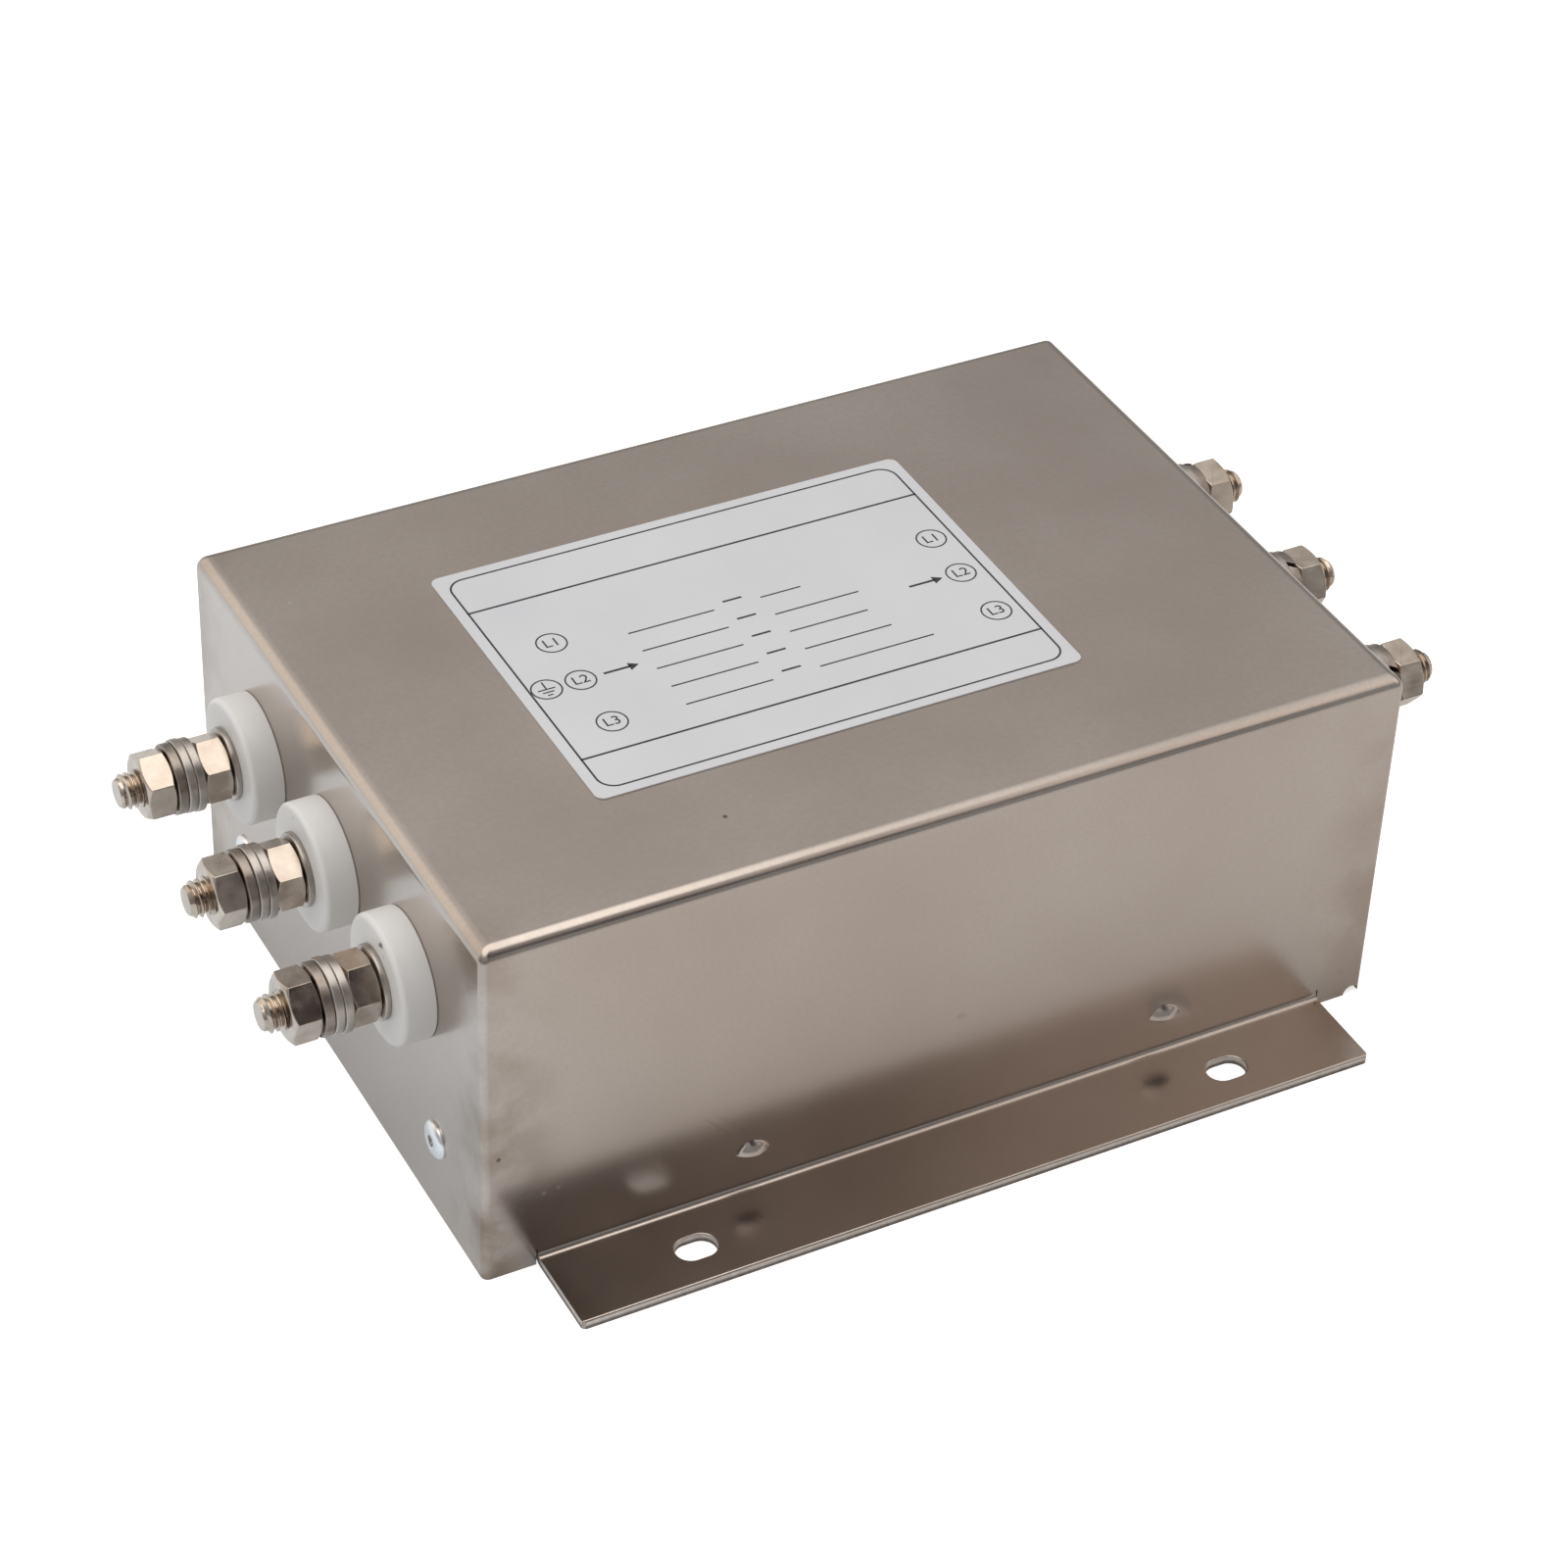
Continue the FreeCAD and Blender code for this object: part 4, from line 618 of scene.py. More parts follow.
def ring_profile(name, x_low, x_high, inner, outer):
    """A flat rectangle between two stations and two radii."""
    start_clean()
    bpy.ops.mesh.primitive_plane_add(
        size=1.0, location=((x_low + x_high) / 2, (inner + outer) / 2, 0.0)
    )
    profile = name_active(name)
    profile.scale = (x_high - x_low, outer - inner, 1.0)
    settle(profile)
    bpy.ops.object.mode_set(mode="EDIT")
    bpy.ops.mesh.select_all(action="SELECT")
    return profile


def spun_ring(name, x_low, x_high, inner, outer, rounding, steps=72, rim=None):
    ring = ring_profile(name, x_low, x_high, inner, outer)
    half = (inner + outer) / 2
    middle = (x_low + x_high) / 2
    if rim:
        choose(ring, "VERT", lambda v: v.co.y > half and v.co.x > middle)
        bpy.ops.mesh.bevel(offset=rim, affect="VERTICES", segments=8)
        choose(ring, "VERT", lambda v: v.co.y < half or v.co.x < x_low + rounding / 2)
    bpy.ops.mesh.bevel(offset=rounding, affect="VERTICES", segments=3)
    bpy.ops.mesh.select_all(action="SELECT")
    bpy.ops.mesh.delete(type="ONLY_FACE")
    bpy.ops.mesh.select_all(action="SELECT")
    bpy.ops.mesh.spin(steps=steps, angle=math.tau, center=(0, 0, 0), axis=(1, 0, 0))
    bpy.ops.object.mode_set(mode="OBJECT")
    tidy_surface(ring)
    keep_flats_flat(ring, 35)
    return ring


# %% [markdown]
# What repeats is modelled once, at the origin, and copied to its terminals. On the left wall
# a copy is turned round, so that it looks outwards there too. Each copy can be turned about
# its own axis, because no two nuts stop at the same angle.

# %% Copies on the terminals


def copy_to(master, name, x, y, z, left, turn=0.0):
    """A copy with its own mesh, turned about its axis and set on a terminal."""
    piece = master.copy()
    piece.data = master.data.copy()
    piece.name = name
    piece.data.name = name
    bpy.context.scene.collection.objects.link(piece)
    facing = Matrix.Rotation(math.pi, 4, "Z") if left else Matrix.Identity(4)
    place = Matrix.Translation((-x if left else x, y, z))
    piece.matrix_world = place @ facing @ Matrix.Rotation(math.radians(turn), 4, "X")
    settle(piece)
    return piece


def joined(name, pieces):
    start_clean()
    for piece in pieces:
        piece.select_set(True)
    bpy.context.view_layer.objects.active = pieces[0]
    bpy.ops.object.join()
    return name_active(name)


def throw_away(piece):
    bpy.data.objects.remove(piece)


def on_all_terminals(name, master, station, turns=(0, 0, 0, 0, 0, 0)):
    """Six copies: three on the left wall from the rear to the front, then three on the right."""
    pieces = []
    for index, turn in enumerate(turns):
        pieces.append(copy_to(
            master, f"{name}_{index + 1}", WALL_X + station, ROWS[index % 3], STUD_HEIGHT,
            left=index < 3, turn=turn,
        ))
    throw_away(master)
    return joined(name, pieces)


# %% [markdown]
# ## Insulators
# Each is a thick white disc with a well-rounded outer rim. A thin neck behind it passes
# through the wall. The disc is one spun profile, and the neck is a second ring.

# %% Insulators
NECK_RADIUS = 4.9 * MM
NECK_LENGTH = 3.0 * MM
NECK_OVERLAP = 0.3 * MM
STUD_CLEARANCE = 3.1 * MM
disc = spun_ring(
    "insulator_disc", 0.0, DISC_THICKNESS, STUD_CLEARANCE, DISC_RADIUS, 0.25 * MM,
    steps=96, rim=0.9 * MM,
)
neck = spun_ring(
    "insulator_neck", -NECK_LENGTH, NECK_OVERLAP, STUD_CLEARANCE, NECK_RADIUS, 0.1 * MM
)
insulator = joined("insulator", [disc, neck])
insulators = on_all_terminals("terminal_insulators_finished", insulator, 0.0)
finish_piece(insulators, "terminal_insulators", white_nylon)

# %% [markdown]
# ## Washers
# The fittings stand on each stud in a fixed order: seat washer, seat nut, two flat washers,
# spring washer, clamp nut. Each one's station is its distance from the wall. The seat washer
# lies against the insulator. Stamped washers have slightly rounded edges.

# %% Stations and seat washers
WASHER_RADIUS = 6.0 * MM
WASHER_BORE = 3.2 * MM
SEAT_WASHER = 1.0 * MM
NUT_THICKNESS = 4.8 * MM
FLAT_WASHER = 1.5 * MM
SPRING_WASHER = 1.6 * MM
seat_station = DISC_THICKNESS
seat_nut_station = seat_station + SEAT_WASHER
flat_station = seat_nut_station + NUT_THICKNESS
spring_station = flat_station + 2 * FLAT_WASHER
clamp_station = spring_station + SPRING_WASHER
seat = spun_ring("seat_washer", 0.0, SEAT_WASHER, WASHER_BORE, WASHER_RADIUS, 0.15 * MM)
seat_washers = on_all_terminals("seat_washers_finished", seat, seat_station)
finish_piece(seat_washers, "seat_washers", washer_nickel)

# %% [markdown]
# The two flat washers of a stud clamp a cable lug between them. They hang a little off the
# stud's axis, each its own way, so their edges don't line up.

# %% Flat washers
INNER_DROP = -0.15 * MM
OUTER_DROP = 0.10 * MM
flat = spun_ring("flat_washer", 0.0, FLAT_WASHER, WASHER_BORE, WASHER_RADIUS, 0.28 * MM)
flat_pieces = []
for station, drop in ((flat_station, INNER_DROP), (flat_station + FLAT_WASHER, OUTER_DROP)):
    for row in ROWS:
        for left in (True, False):
            flat_pieces.append(copy_to(
                flat, f"flat_washer_{len(flat_pieces) + 1}",
                WALL_X + station, row, STUD_HEIGHT + drop, left,
            ))
throw_away(flat)
flat_washers = joined("flat_washers_finished", flat_pieces)
finish_piece(flat_washers, "flat_washers", washer_nickel)

# %% [markdown]
# ## Split spring washers
# A spring washer is a short piece of square wire bent into a ring, so it has a slanting gap.
# The same profile is spun almost all the way round. The two end faces are then slid along
# the ring, the outer side one way and the inner side the other, to slant the gap.

# %% Spring washer
SPRING_RADIUS = 5.8 * MM
GAP_HALF = math.radians(4.5)
SLANT = 0.37 * MM
spring = ring_profile("spring_washer", 0.0, SPRING_WASHER, WASHER_BORE, SPRING_RADIUS)
bpy.ops.mesh.bevel(offset=0.22 * MM, affect="VERTICES", segments=3)
bpy.ops.mesh.select_all(action="SELECT")
bpy.ops.transform.rotate(value=GAP_HALF, orient_axis="X", center_override=(0.0, 0.0, 0.0))
bpy.ops.mesh.spin(
    steps=70, angle=math.tau - 2 * GAP_HALF, center=(0, 0, 0), axis=(1, 0, 0)
)
bpy.ops.object.mode_set(mode="OBJECT")
tidy_surface(spring)
bpy.ops.object.mode_set(mode="EDIT")
for outer_side, slide in ((True, SLANT), (False, -SLANT)):
    moved = choose(spring, "VERT", lambda v: v.co.y > 0
                   and abs(math.atan2(v.co.z, v.co.y)) < GAP_HALF * 1.2
                   and (v.co.x > SPRING_WASHER / 2) == outer_side)
    bpy.ops.transform.translate(value=(0.0, 0.0, slide))
    print("points slid at the gap:", moved)
bpy.ops.object.mode_set(mode="OBJECT")
keep_flats_flat(spring, 35)

# %% [markdown]
# Each spring washer's gap stopped at its own angle when its nut was tightened.

# %% Spring washers in place
spring_turns = (-150, -140, -55, 70, 110, 130)
spring_washers = on_all_terminals("spring_washers_finished", spring, spring_station, spring_turns)
# The spring washers' finish is dark steel with painted shade between the nut and the washers.
finish_piece(spring_washers, "spring_washers", spring_steel_and_shade)

# %% [markdown]
# ## Outlines and turned solids
# A turned solid is an outline spun about the axis. The outline's points must lie exactly at
# their places, so they are written straight into the mesh instead of being moved there. The
# ends of the outline lie on the axis or meet each other, so the spun solid is closed.

# %% Outline, turned body and boolean


def drawn_outline(name, points):
    """An open line through the points."""
    start_clean()
    bpy.ops.mesh.primitive_plane_add(size=1.0)
    outline = name_active(name)
    mesh = bmesh.new()
    corners = [mesh.verts.new(place) for place in points]
    for first, second in zip(corners, corners[1:]):
        mesh.edges.new((first, second))
    mesh.to_mesh(outline.data)
    mesh.free()
    return outline


def turned_body(name, outline, steps):
    """A solid of revolution about X: the outline is a list of (x, radius)."""
    body = drawn_outline(name, [(x, radius, 0.0) for x, radius in outline])
    bpy.ops.object.mode_set(mode="EDIT")
    bpy.ops.mesh.select_all(action="SELECT")
    bpy.ops.mesh.spin(steps=steps, angle=math.tau, center=(0, 0, 0), axis=(1, 0, 0))
    bpy.ops.object.mode_set(mode="OBJECT")
    tidy_surface(body)
    return body


def combine(piece, tool, operation):
    apply_modifier(piece, "BOOLEAN", object=tool, operation=operation, solver="EXACT")
    throw_away(tool)


# %% [markdown]
# ## Hexagon nuts
# A nut is a hexagonal bar, turned down at both ends so that its corners become arcs, and
# drilled. So is this one: a six-sided cylinder is intersected with a turned blank and the
# bore is taken out. A narrow bevel then breaks the sharp edges, as plating does.

# %% Six-sided bar
HALF_ACROSS_FLATS = 5.0 * MM
NUT_CORNER = HALF_ACROSS_FLATS / math.cos(math.radians(30))
start_clean()
bpy.ops.mesh.primitive_cylinder_add(
    vertices=6, radius=NUT_CORNER, depth=NUT_THICKNESS,
    location=(NUT_THICKNESS / 2, 0.0, 0.0), rotation=(0.0, math.pi / 2, 0.0),
)
nut = name_active("nut")
settle(nut)
corner = max(nut.data.vertices, key=lambda v: v.co.y)
first_corner = math.atan2(corner.co.z, corner.co.y)
nut.data.transform(Matrix.Rotation(-first_corner, 4, "X"))
print("nut width across corners in mm:", round(2 * NUT_CORNER / MM, 2))

# %% [markdown]
# The blank is a hair thicker than the bar, so that no face of one lies exactly on a face of
# the other. The drill has a wide cone at each end, for the countersunk mouths of the bore.

# %% Corner arcs, bore and broken edges
NUT_FACE = 4.75 * MM
NUT_BORE = 2.75 * MM
BORE_MOUTH = 3.2 * MM
HAIR = 0.0001 * MM
DRILL_SPARE = 1.0 * MM
CONE_ANGLE = math.radians(30)
blank_radius = NUT_CORNER + 0.6 * MM
blank_drop = (blank_radius - NUT_FACE) * math.tan(CONE_ANGLE)
blank = turned_body("nut_blank", [
    (-HAIR, 0.0), (-HAIR, NUT_FACE), (blank_drop, blank_radius),
    (NUT_THICKNESS - blank_drop, blank_radius), (NUT_THICKNESS + HAIR, NUT_FACE),
    (NUT_THICKNESS + HAIR, 0.0),
], steps=120)
combine(nut, blank, "INTERSECT")
mouth_depth = BORE_MOUTH - NUT_BORE
drill = turned_body("nut_drill", [
    (-DRILL_SPARE, 0.0), (-DRILL_SPARE, BORE_MOUTH + DRILL_SPARE), (mouth_depth, NUT_BORE),
    (NUT_THICKNESS - mouth_depth, NUT_BORE),
    (NUT_THICKNESS + DRILL_SPARE, BORE_MOUTH + DRILL_SPARE), (NUT_THICKNESS + DRILL_SPARE, 0.0),
], steps=60)
combine(nut, drill, "DIFFERENCE")
apply_modifier(
    nut, "BEVEL", width=0.10 * MM, segments=2, limit_method="ANGLE", angle_limit=math.radians(25)
)
keep_flats_flat(nut, 30)
print("faces of one nut:", len(nut.data.polygons))

# %% [markdown]
# The same nut is used twice on each stud: against the seat washer, and outside as the clamp.
# The turns, in degrees, follow the real object, because each facet mirrors another place.

# %% Nuts in place
seat_turns = (28, 28, 10, 5, 40, 20)
clamp_turns = (28, 4, 10, 12, 2, 8)
spare = nut.copy()
spare.data = nut.data.copy()
bpy.context.scene.collection.objects.link(spare)
seat_nuts = on_all_terminals("seat_nuts_finished", nut, seat_nut_station, seat_turns)
finish_piece(seat_nuts, "seat_nuts", bright_nickel)
clamp_nuts = on_all_terminals("clamp_nuts_finished", spare, clamp_station, clamp_turns)
finish_piece(clamp_nuts, "clamp_nuts", bright_nickel)

# %% [markdown]
# ## Studs with their thread
# The thread shows only on the free end. It is one tooth of the profile, wound up by a Screw
# modifier and laid along X. Two cuts with a filled face then trim it to the free end.

# %% Thread
PITCH = 1.0 * MM
THREAD_ROOT = 2.42 * MM
TURNS = 7
TURNS_SHOWN = 5.2
THREAD_OVERLAP = 0.3 * MM
FREE_START = clamp_station + NUT_THICKNESS
TIP_STATION = TIP_X - WALL_X
thread = drawn_outline("stud_thread", [
    (THREAD_ROOT, 0.0, 0.0), (THREAD_ROOT, 0.0, 0.12 * PITCH), (STUD_RADIUS, 0.0, 0.50 * PITCH),
    (STUD_RADIUS, 0.0, 0.62 * PITCH), (THREAD_ROOT, 0.0, PITCH),
])
apply_modifier(
    thread, "SCREW", angle=math.tau, screw_offset=PITCH, iterations=TURNS, steps=48,
    render_steps=48, axis="Z", use_merge_vertices=True, merge_threshold=0.001 * MM,
)
tidy_surface(thread)
thread.rotation_euler = (0.0, math.pi / 2, 0.0)
thread.location = (TIP_STATION - TURNS_SHOWN * PITCH, 0.0, 0.0)
settle(thread)
bpy.ops.object.mode_set(mode="EDIT")
for cut, outer in ((FREE_START - THREAD_OVERLAP, False), (TIP_STATION, True)):
    bpy.ops.mesh.select_all(action="SELECT")
    bpy.ops.mesh.bisect(
        plane_co=(cut, 0, 0), plane_no=(1, 0, 0), use_fill=True,
        clear_inner=not outer, clear_outer=outer, threshold=0.0001 * MM,
    )
bpy.ops.object.mode_set(mode="OBJECT")
tidy_surface(thread, 0.0005 * MM)
print("faces of the thread:", len(thread.data.polygons))

# %% [markdown]
# A stud's tip is chamfered, so that a nut starts easily. The chamfer is a cone: each point of
# the thread that lies outside the cone is moved in to it. Inside the nuts the stud is a plain
# rod at the thread's mean radius, because nothing of the thread shows there.

# %% Tip, rod and studs in place
CHAMFER = 0.8 * MM
CHAMFER_SLOPE = 0.75
STUD_CORE = 2.7 * MM
STUD_INNER_END = -13.2 * MM
for vertex in thread.data.vertices:
    limit = STUD_RADIUS - CHAMFER + (TIP_STATION - vertex.co.x) * CHAMFER_SLOPE
    radius = math.hypot(vertex.co.y, vertex.co.z)
    if radius > limit:
        vertex.co.y *= limit / radius
        vertex.co.z *= limit / radius
rod = turned_body("stud_rod", [
    (STUD_INNER_END, 0.0), (STUD_INNER_END, STUD_CORE - CHAMFER),
    (STUD_INNER_END + CHAMFER, STUD_CORE), (FREE_START, STUD_CORE), (FREE_START, 0.0),
], steps=48)
smooth(thread, 30)
smooth(rod, 30)
stud = joined("stud", [thread, rod])
stud_turns = (0, 130, 250, 70, 190, 310)
studs = on_all_terminals("terminal_studs_finished", stud, 0.0, stud_turns)
finish_piece(studs, "terminal_studs", bright_nickel)

# %% [markdown]
# ## Blind rivets
# A blind rivet shows a low, domed head with a hole, and the broken end of its drawn mandrel
# sits inside the hole. Its body is one spun outline: the dome, the shank through the two
# sheets, and the set end, which the mandrel's head has spread inside the box.

# %% Rivet
rivet_low, rivet_high = corner_values("blind_rivets")
RIVET_RADIUS = (rivet_high.z - rivet_low.z) / 2
HEAD_RISE = rivet_high.x - WALL_X
HOLE = 0.95 * MM
GRIP = 2.8 * MM
SHANK = 1.6 * MM
SET_END = 2.4 * MM
SET_LENGTH = 2.4 * MM
SET_BEVEL = 0.7 * MM
dome = [(HEAD_RISE * rise, RIVET_RADIUS * out) for rise, out in (
    (1.00, 0.42), (0.98, 0.52), (0.88, 0.70), (0.66, 0.87), (0.36, 0.975), (0.12, 1.00),
    (0.00, 0.99),
)]
rivet = turned_body("rivet", [
    (-GRIP - SET_LENGTH, HOLE), (HEAD_RISE * 0.92, HOLE),
    *dome,
    (0.0, SHANK), (-GRIP, SHANK), (-GRIP, SET_END),
    (-GRIP - SET_LENGTH + SET_BEVEL, SET_END), (-GRIP - SET_LENGTH, SET_END - SET_BEVEL),
    (-GRIP - SET_LENGTH, HOLE),
], steps=48)
smooth(rivet, 40)

# %% [markdown]
# Two rivets sit low in each end wall. The mandrels keep the frame's shape in a smooth copy.

# %% Rivets and mandrels in place
RIVET_HEIGHT = (rivet_high.z + rivet_low.z) / 2
RIVET_SPREAD = (rivet_high.y - rivet_low.y) / 2 - RIVET_RADIUS
rivet_pieces = []
for y in (-RIVET_SPREAD, RIVET_SPREAD):
    for left in (True, False):
        rivet_pieces.append(copy_to(
            rivet, f"rivet_{len(rivet_pieces) + 1}", WALL_X, y, RIVET_HEIGHT, left
        ))
throw_away(rivet)
rivets = joined("blind_rivets_finished", rivet_pieces)
finish_piece(rivets, "blind_rivets", rivet_aluminium)
mandrels = smooth_copy("rivet_mandrels", 30)
finish_piece(mandrels, "rivet_mandrels", dark_steel)

# %% [markdown]
# ## The label and its print
# The label is a thin film with round corners, and the frame's shape is right for it. Its
# print is raised by a few hundredths of a millimetre, like screen-printed ink. So a printed
# shape is a flat face, or only that face's outline, raised to the thickness of the ink.

# %% Label and print helpers
label_low, label_high = corner_values("rating_label")
INK = 0.03 * MM
label = smooth_copy("rating_label", 30)
finish_piece(label, "rating_label", label_film)


def keep_outline(line):
    """In edit mode, leave only a line of this width along the face's outline."""
    bpy.ops.mesh.select_all(action="SELECT")
    bpy.ops.mesh.inset(thickness=line, depth=0.0)
    bpy.ops.mesh.delete(type="FACE")


def raise_ink():
    """In edit mode, give the flat shape the ink's thickness."""
    bpy.ops.mesh.select_all(action="SELECT")
    bpy.ops.mesh.extrude_region_move(TRANSFORM_OT_translate={"value": (0.0, 0.0, INK)})
    bpy.ops.mesh.select_all(action="SELECT")
    bpy.ops.mesh.normals_make_consistent(inside=False)
    bpy.ops.object.mode_set(mode="OBJECT")


def flat_shape(name, x, y, length, width, rounding=0.0, line=None):
    """A printed rectangle, optionally with round corners and only its outline."""
    start_clean()
    bpy.ops.mesh.primitive_plane_add(size=1.0, location=(x, y, label_high.z))
    shape = name_active(name)
    shape.scale = (length, width, 1.0)
    settle(shape)
    bpy.ops.object.mode_set(mode="EDIT")
    if rounding:
        bpy.ops.mesh.select_all(action="SELECT")
        bpy.ops.mesh.bevel(offset=rounding, affect="VERTICES", segments=10)
    if line:
        keep_outline(line)
    raise_ink()
    return shape


# %% [markdown]
# Rings and arrow heads start from a filled circle, which has three corners for an arrow head.
# Letters start as a text object with a small extrusion, which is then made a mesh.

# %% Rings, arrows and letters
MARK_RADIUS = 2.55 * MM
FINE_LINE = 0.25 * MM
LETTER_SIZE = 2.9 * MM
ARROW_HEAD = 1.1 * MM


def filled_circle(name, x, y, radius, corners, turn=0.0):
    start_clean()
    bpy.ops.mesh.primitive_circle_add(
        vertices=corners, radius=radius, fill_type="NGON",
        location=(x, y, label_high.z), rotation=(0, 0, turn),
    )
    shape = name_active(name)
    settle(shape)
    bpy.ops.object.mode_set(mode="EDIT")
    return shape


def printed_ring(name, x, y):
    ring = filled_circle(name, x, y, MARK_RADIUS, 48)
    keep_outline(FINE_LINE)
    raise_ink()
    return ring


def printed_arrow(name, x, y, length):
    """A plain arrow towards +X: a bar and a triangular head, joined."""
    bar = flat_shape(name + "_bar", x - 0.7 * MM, y, length - 1.4 * MM, 0.45 * MM)
    head_x = x + length / 2 - ARROW_HEAD
    head = filled_circle(name + "_head", head_x, y, ARROW_HEAD, 3, -math.pi / 2)
    raise_ink()
    return joined(name, [bar, head])


def printed_text(name, words, x, y):
    start_clean()
    bpy.ops.object.text_add(location=(x, y, label_high.z))
    text = bpy.context.active_object
    text.data.body = words
    text.data.size = LETTER_SIZE
    text.data.align_x = "CENTER"
    text.data.align_y = "CENTER"
    text.data.extrude = INK / 2
    text.data.resolution_u = 6
    bpy.ops.object.convert(target="MESH")
    shape = name_active(name)
    shape.location.z += INK / 2
    settle(shape)
    tidy_surface(shape, 0.0005 * MM)
    return shape


# %% [markdown]
# The print is laid out in millimetres from the middle of the box's top. A rounded frame runs
# along the label's edge, and two rules divide a head and a foot field from the rest.

# %% Printed frame and rules
FRAME_MARGIN = 1.8 * MM
FRAME_CORNER = 3.0 * MM
FRAME_LINE = 0.32 * MM
RULE_LINE = 1.2 * FRAME_LINE
label_middle = (label_low + label_high) / 2
frame_length = label_high.x - label_low.x - 2 * FRAME_MARGIN
frame_width = label_high.y - label_low.y - 2 * FRAME_MARGIN
print_pieces = [flat_shape(
    "print_frame", label_middle.x, label_middle.y, frame_length, frame_width,
    FRAME_CORNER, FRAME_LINE,
)]
for name, y in (("print_rule_upper", 21.2 * MM), ("print_rule_lower", -20.0 * MM)):
    print_pieces.append(flat_shape(name, label_middle.x, y, frame_length, RULE_LINE))

# %% [markdown]
# Each circled mark is a ring with its terminal's name inside. The earth mark is drawn as its
# usual symbol: one upright line over three shorter and shorter bars. An arrow on each side
# says which way the supply runs.

# %% Terminal marks
ARROW_LENGTH = 6.0 * MM
TERMINAL_MARKS = (
    ("L1", -37.9, 8.8), ("L2", -37.9, -1.8), ("L3", -38.1, -13.3),
    ("L1", 29.7, 8.9), ("L2", 29.4, -1.4), ("L3", 29.4, -12.8),
)
for index, (words, x, y) in enumerate(TERMINAL_MARKS):
    name = f"print_mark_{index + 1}"
    print_pieces.append(printed_ring(name + "_ring", x * MM, y * MM))
    print_pieces.append(printed_text(name, words, x * MM, y * MM))
EARTH_X = -43.7 * MM
EARTH_Y = -1.8 * MM
print_pieces.append(printed_ring("print_earth_ring", EARTH_X, EARTH_Y))
print_pieces.append(
    flat_shape("print_earth_stem", EARTH_X, EARTH_Y + 1.0 * MM, FINE_LINE, 1.9 * MM)
)
for index, bar in enumerate((2.9, 1.9, 0.9)):
    print_pieces.append(flat_shape(
        f"print_earth_bar_{index + 1}",
        EARTH_X, EARTH_Y - 0.75 * MM * index, bar * MM, FINE_LINE,
    ))
print_pieces.append(printed_arrow("print_arrow_in", -31.0 * MM, -1.8 * MM, ARROW_LENGTH))
print_pieces.append(printed_arrow("print_arrow_out", 23.0 * MM, -1.4 * MM, ARROW_LENGTH))
print("printed shapes so far:", len(print_pieces))

# %% [markdown]
# The middle of the label has five blank rows to fill in: a name field, a dash and a value
# field. All the printed shapes are then joined into one piece of ink.

# %% Blank fields
ROW_TOP = 7.4 * MM
ROW_STEP = 5.05 * MM
FIELD_DROP = 1.4 * MM
FIELD_LINE = 0.28 * MM
NAME_FIELD_X = -18.5 * MM
NAME_FIELD_LENGTH = 15.0 * MM
DASH_X = -7.15 * MM
VALUE_FIELD_START = -2.8 * MM
value_ends = (4.3, 12.0, 11.0, 12.5, 17.3)
for row, value_end in enumerate(value_ends):
    y = ROW_TOP - row * ROW_STEP
    field_end = value_end * MM
    print_pieces.append(flat_shape(f"print_dash_{row + 1}", DASH_X, y, 3.3 * MM, 0.4 * MM))
    print_pieces.append(flat_shape(
        f"print_name_field_{row + 1}", NAME_FIELD_X, y - FIELD_DROP, NAME_FIELD_LENGTH,
        FIELD_LINE,
    ))
    print_pieces.append(flat_shape(
        f"print_value_field_{row + 1}", (field_end + VALUE_FIELD_START) / 2, y - FIELD_DROP,
        field_end - VALUE_FIELD_START, FIELD_LINE,
    ))
label_print = joined("label_print", print_pieces)
paint(label_print, label_ink)
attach(label_print, "root")
print("faces of the print:", len(label_print.data.polygons))

# %% [markdown]
# ## Floor, light and camera
# The part stands on a plain white floor. Polished metal shows what stands around it, so the
# surroundings matter as much as the lamp: without a dark side, metal would look like paint.
# The floor is lifted to plain white for the camera only, by a glow that other rays don't
# meet. Mirror rays meet a faint cool glow left of the box, as from daylight on that side.

# %% Floor
FLOOR_GREY = 0.79
FLOOR_LIFT = 0.70
COOL_LIFT = 0.26
COOL_COLOUR = (0.50, 0.84, 1.16)
PLAIN_WHITE = (1.0, 1.0, 1.0)
start_clean()
bpy.ops.mesh.primitive_plane_add(size=8.0)
floor = name_active("studio_floor")
settle(floor)
floor_finish, tree, shader = new_finish("white_floor")
tree.nodes.remove(shader)
surface = tree.nodes.new("ShaderNodeBsdfDiffuse")
surface.inputs["Color"].default_value = (FLOOR_GREY, FLOOR_GREY, FLOOR_GREY, 1.0)
glow = tree.nodes.new("ShaderNodeEmission")
rays = tree.nodes.new("ShaderNodeLightPath")
left_lift = add_range(tree, position_axis(tree, "X"), -130.0 * MM, -20.0 * MM, COOL_LIFT, 0.0)
seen = add_math(tree, "MULTIPLY", rays.outputs["Is Camera Ray"], FLOOR_LIFT)
mirrored = add_math(tree, "MULTIPLY", rays.outputs["Is Glossy Ray"], left_lift)
tree.links.new(add_math(tree, "ADD", seen, mirrored), glow.inputs["Strength"])
tree.links.new(
    add_mix(tree, rays.outputs["Is Camera Ray"], COOL_COLOUR, PLAIN_WHITE),
    glow.inputs["Color"],
)
both = tree.nodes.new("ShaderNodeAddShader")
tree.links.new(surface.outputs[0], both.inputs[0])
tree.links.new(glow.outputs[0], both.inputs[1])
tree.links.new(both.outputs[0], tree.nodes["Material Output"].inputs["Surface"])
paint(floor, floor_finish)

# %% [markdown]
# The sky is a ramp from a dim horizon to a bright zenith, with soft zones laid over it, each
# around one direction. A direction's nearness to a zone is their dot product: 1 when they
# agree.

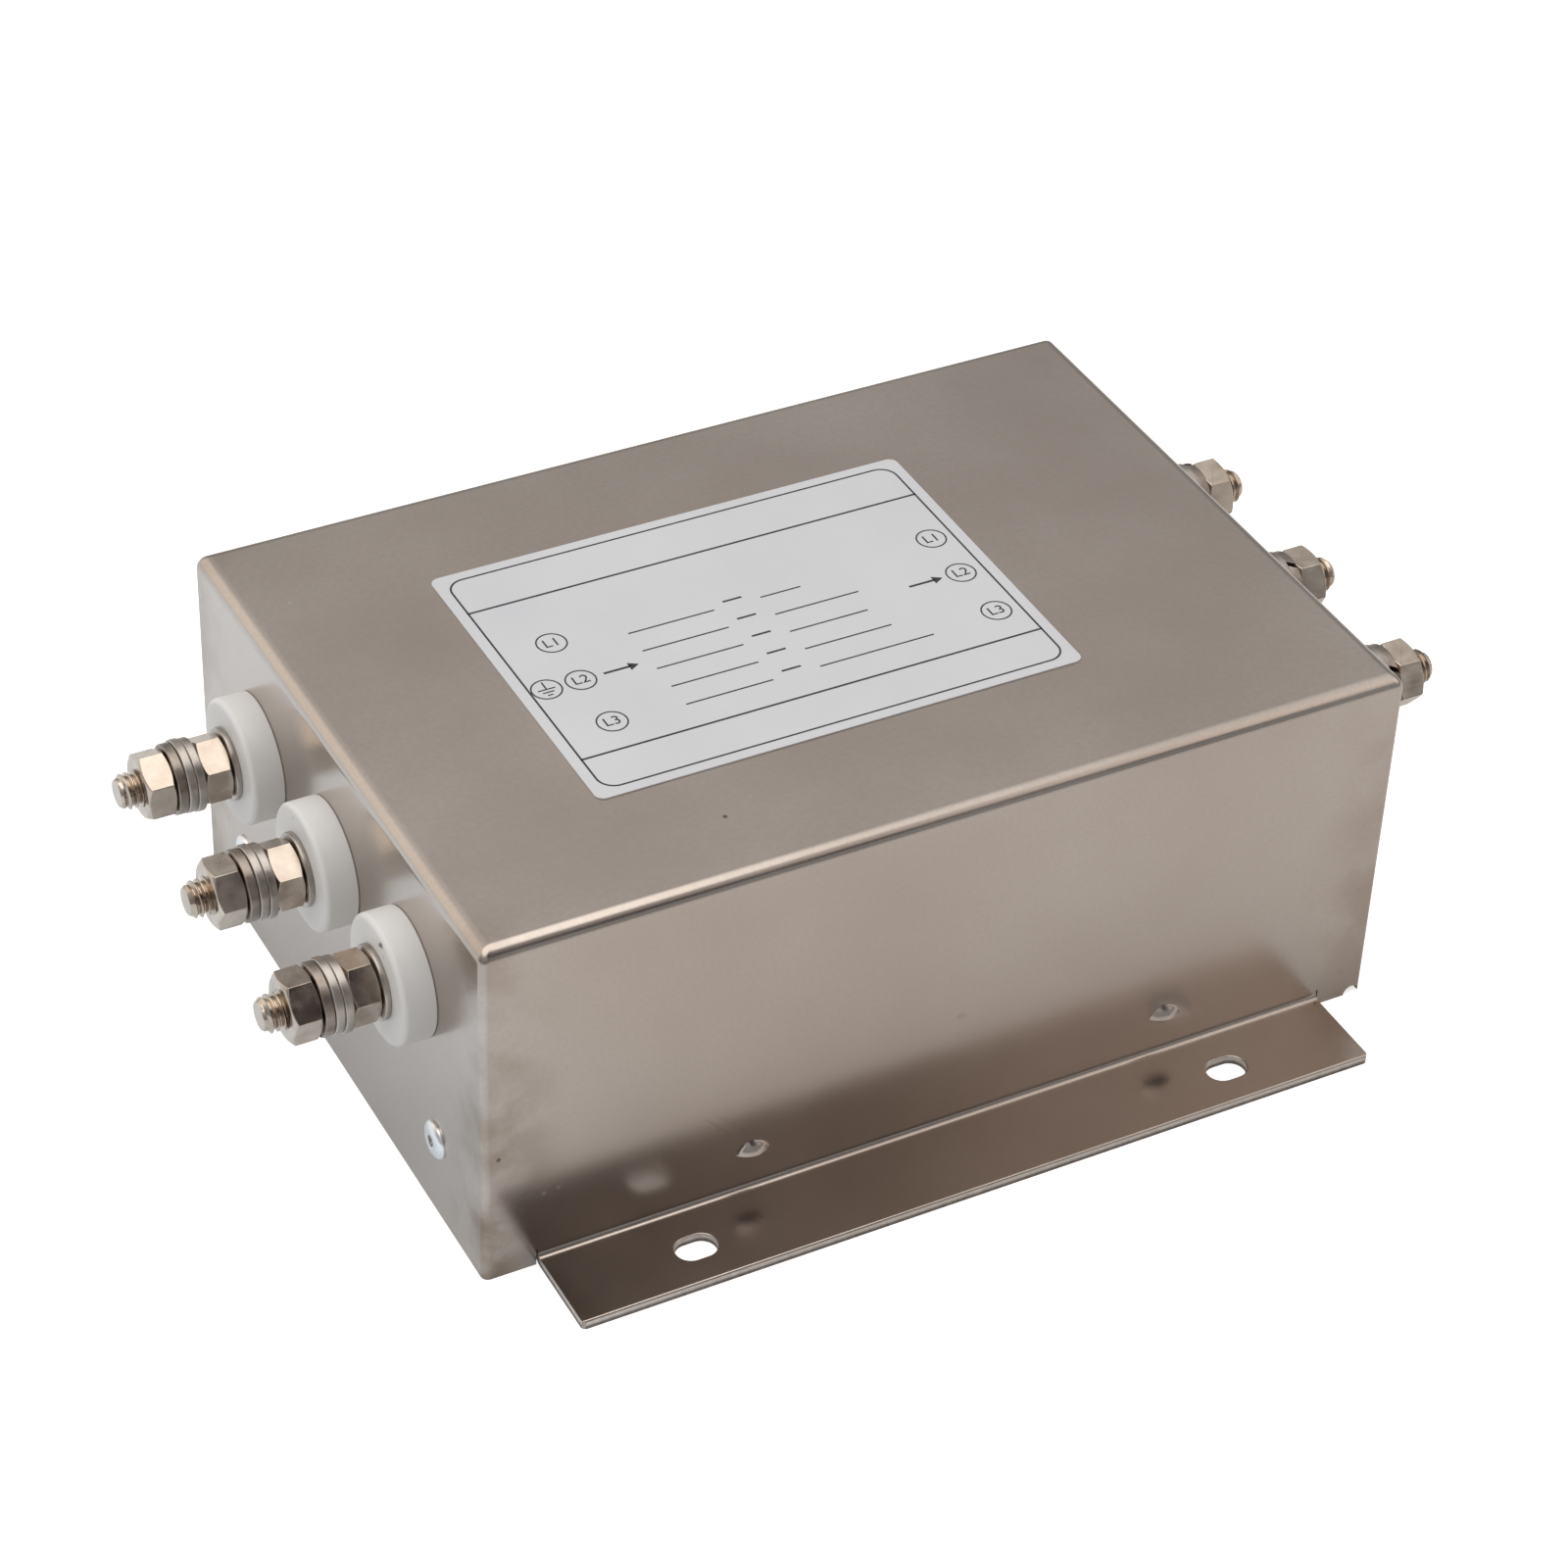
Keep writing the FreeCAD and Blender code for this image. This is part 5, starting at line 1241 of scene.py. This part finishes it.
# %% Sky ramp
world = bpy.data.worlds.new("studio_sky")
bpy.context.scene.world = world
world.use_nodes = True
tree = world.node_tree
sky = tree.nodes["Background"]
direction = tree.nodes.new("ShaderNodeTexCoord").outputs["Generated"]
split = tree.nodes.new("ShaderNodeSeparateXYZ")
tree.links.new(direction, split.inputs["Vector"])
sky_colour = add_ramp(tree, split.outputs["Z"], [
    (0.0, (0.27, 0.27, 0.28)), (0.45, (0.40, 0.40, 0.40)),
    (0.64, (0.63, 0.62, 0.61)), (0.90, (1.0, 0.98, 0.95)),
])


def add_zone(under, middle, outer, inner, colour):
    """Blend a colour over the sky around one direction, from outer to inner nearness."""
    nearness = tree.nodes.new("ShaderNodeVectorMath")
    nearness.operation = "DOT_PRODUCT"
    nearness.inputs[1].default_value = middle
    tree.links.new(direction, nearness.inputs[0])
    share = add_range(tree, nearness.outputs["Value"], outer, inner, 0.0, 1.0)
    return add_mix(tree, share, under, colour)


# %% [markdown]
# The dark zone, high in front, is what the flange and the nuts' facets show as near black.
# The two bright zones stand for a pale wall at the front right and a window at the rear left.
# The camera itself sees plain white.

# %% Sky zones
DARK_FRONT = (0.28, -0.64, 0.715)
PALE_WALL = (0.68, -0.39, 0.62)
WINDOW = (-0.610, 0.690, 0.387)
sky_colour = add_zone(sky_colour, DARK_FRONT, 0.90, 0.955, (0.040, 0.038, 0.044))
sky_colour = add_zone(sky_colour, PALE_WALL, 0.895, 0.97, (1.20, 1.10, 1.04))
sky_colour = add_zone(sky_colour, WINDOW, 0.80, 0.97, (1.15, 1.08, 0.99))
rays = tree.nodes.new("ShaderNodeLightPath")
sky_colour = add_mix(tree, rays.outputs["Is Camera Ray"], sky_colour, PLAIN_WHITE)
tree.links.new(sky_colour, sky.inputs["Color"])
sky.inputs["Strength"].default_value = 1.0
print("sky nodes:", len(tree.nodes))

# %% [markdown]
# One large softbox hangs high above the rear left corner. Its size gives the long, soft
# highlight on the top's front bend, and its strength leaves white plastic just below white.

# %% Lamp
start_clean()
bpy.ops.object.light_add(type="AREA", location=(-0.30, 0.10, 1.1))
softbox = bpy.context.active_object
softbox.name = "overhead_softbox"
softbox.data.shape = "RECTANGLE"
softbox.data.size = 1.4
softbox.data.size_y = 1.2
softbox.data.energy = 5.7
softbox.data.color = (1.0, 0.98, 0.95)
print("softbox width in m:", round(softbox.data.size, 2))

# %% [markdown]
# The camera stands where the photograph was taken from: to the front left, looking down. Its
# turn is written as angles about the part, with a slight roll.

# %% Camera
AZIMUTH = math.radians(-29.077)
ELEVATION = math.radians(37.922)
ROLL = math.radians(2.476)
CAMERA_PLACE = Vector((-0.27104, -0.48664, 0.46408))
back = Vector((
    math.sin(AZIMUTH) * math.cos(ELEVATION),
    -math.cos(AZIMUTH) * math.cos(ELEVATION),
    math.sin(ELEVATION),
))
level_right = (-back).cross(Vector((0.0, 0.0, 1.0))).normalized()
level_up = level_right.cross(-back).normalized()
camera_right = level_right * math.cos(ROLL) + level_up * math.sin(ROLL)
camera_up = level_up * math.cos(ROLL) - level_right * math.sin(ROLL)
start_clean()
bpy.ops.object.camera_add()
camera = bpy.context.active_object
camera.name = "photo_camera"
camera.matrix_world = Matrix((
    (camera_right.x, camera_up.x, back.x, CAMERA_PLACE.x),
    (camera_right.y, camera_up.y, back.y, CAMERA_PLACE.y),
    (camera_right.z, camera_up.z, back.z, CAMERA_PLACE.z),
    (0.0, 0.0, 0.0, 1.0),
))
camera.data.sensor_width = 36.0
camera.data.lens = 100.05
bpy.context.scene.camera = camera
bpy.context.scene.view_settings.view_transform = "Standard"
print("camera distance in m:", round(CAMERA_PLACE.length, 3))
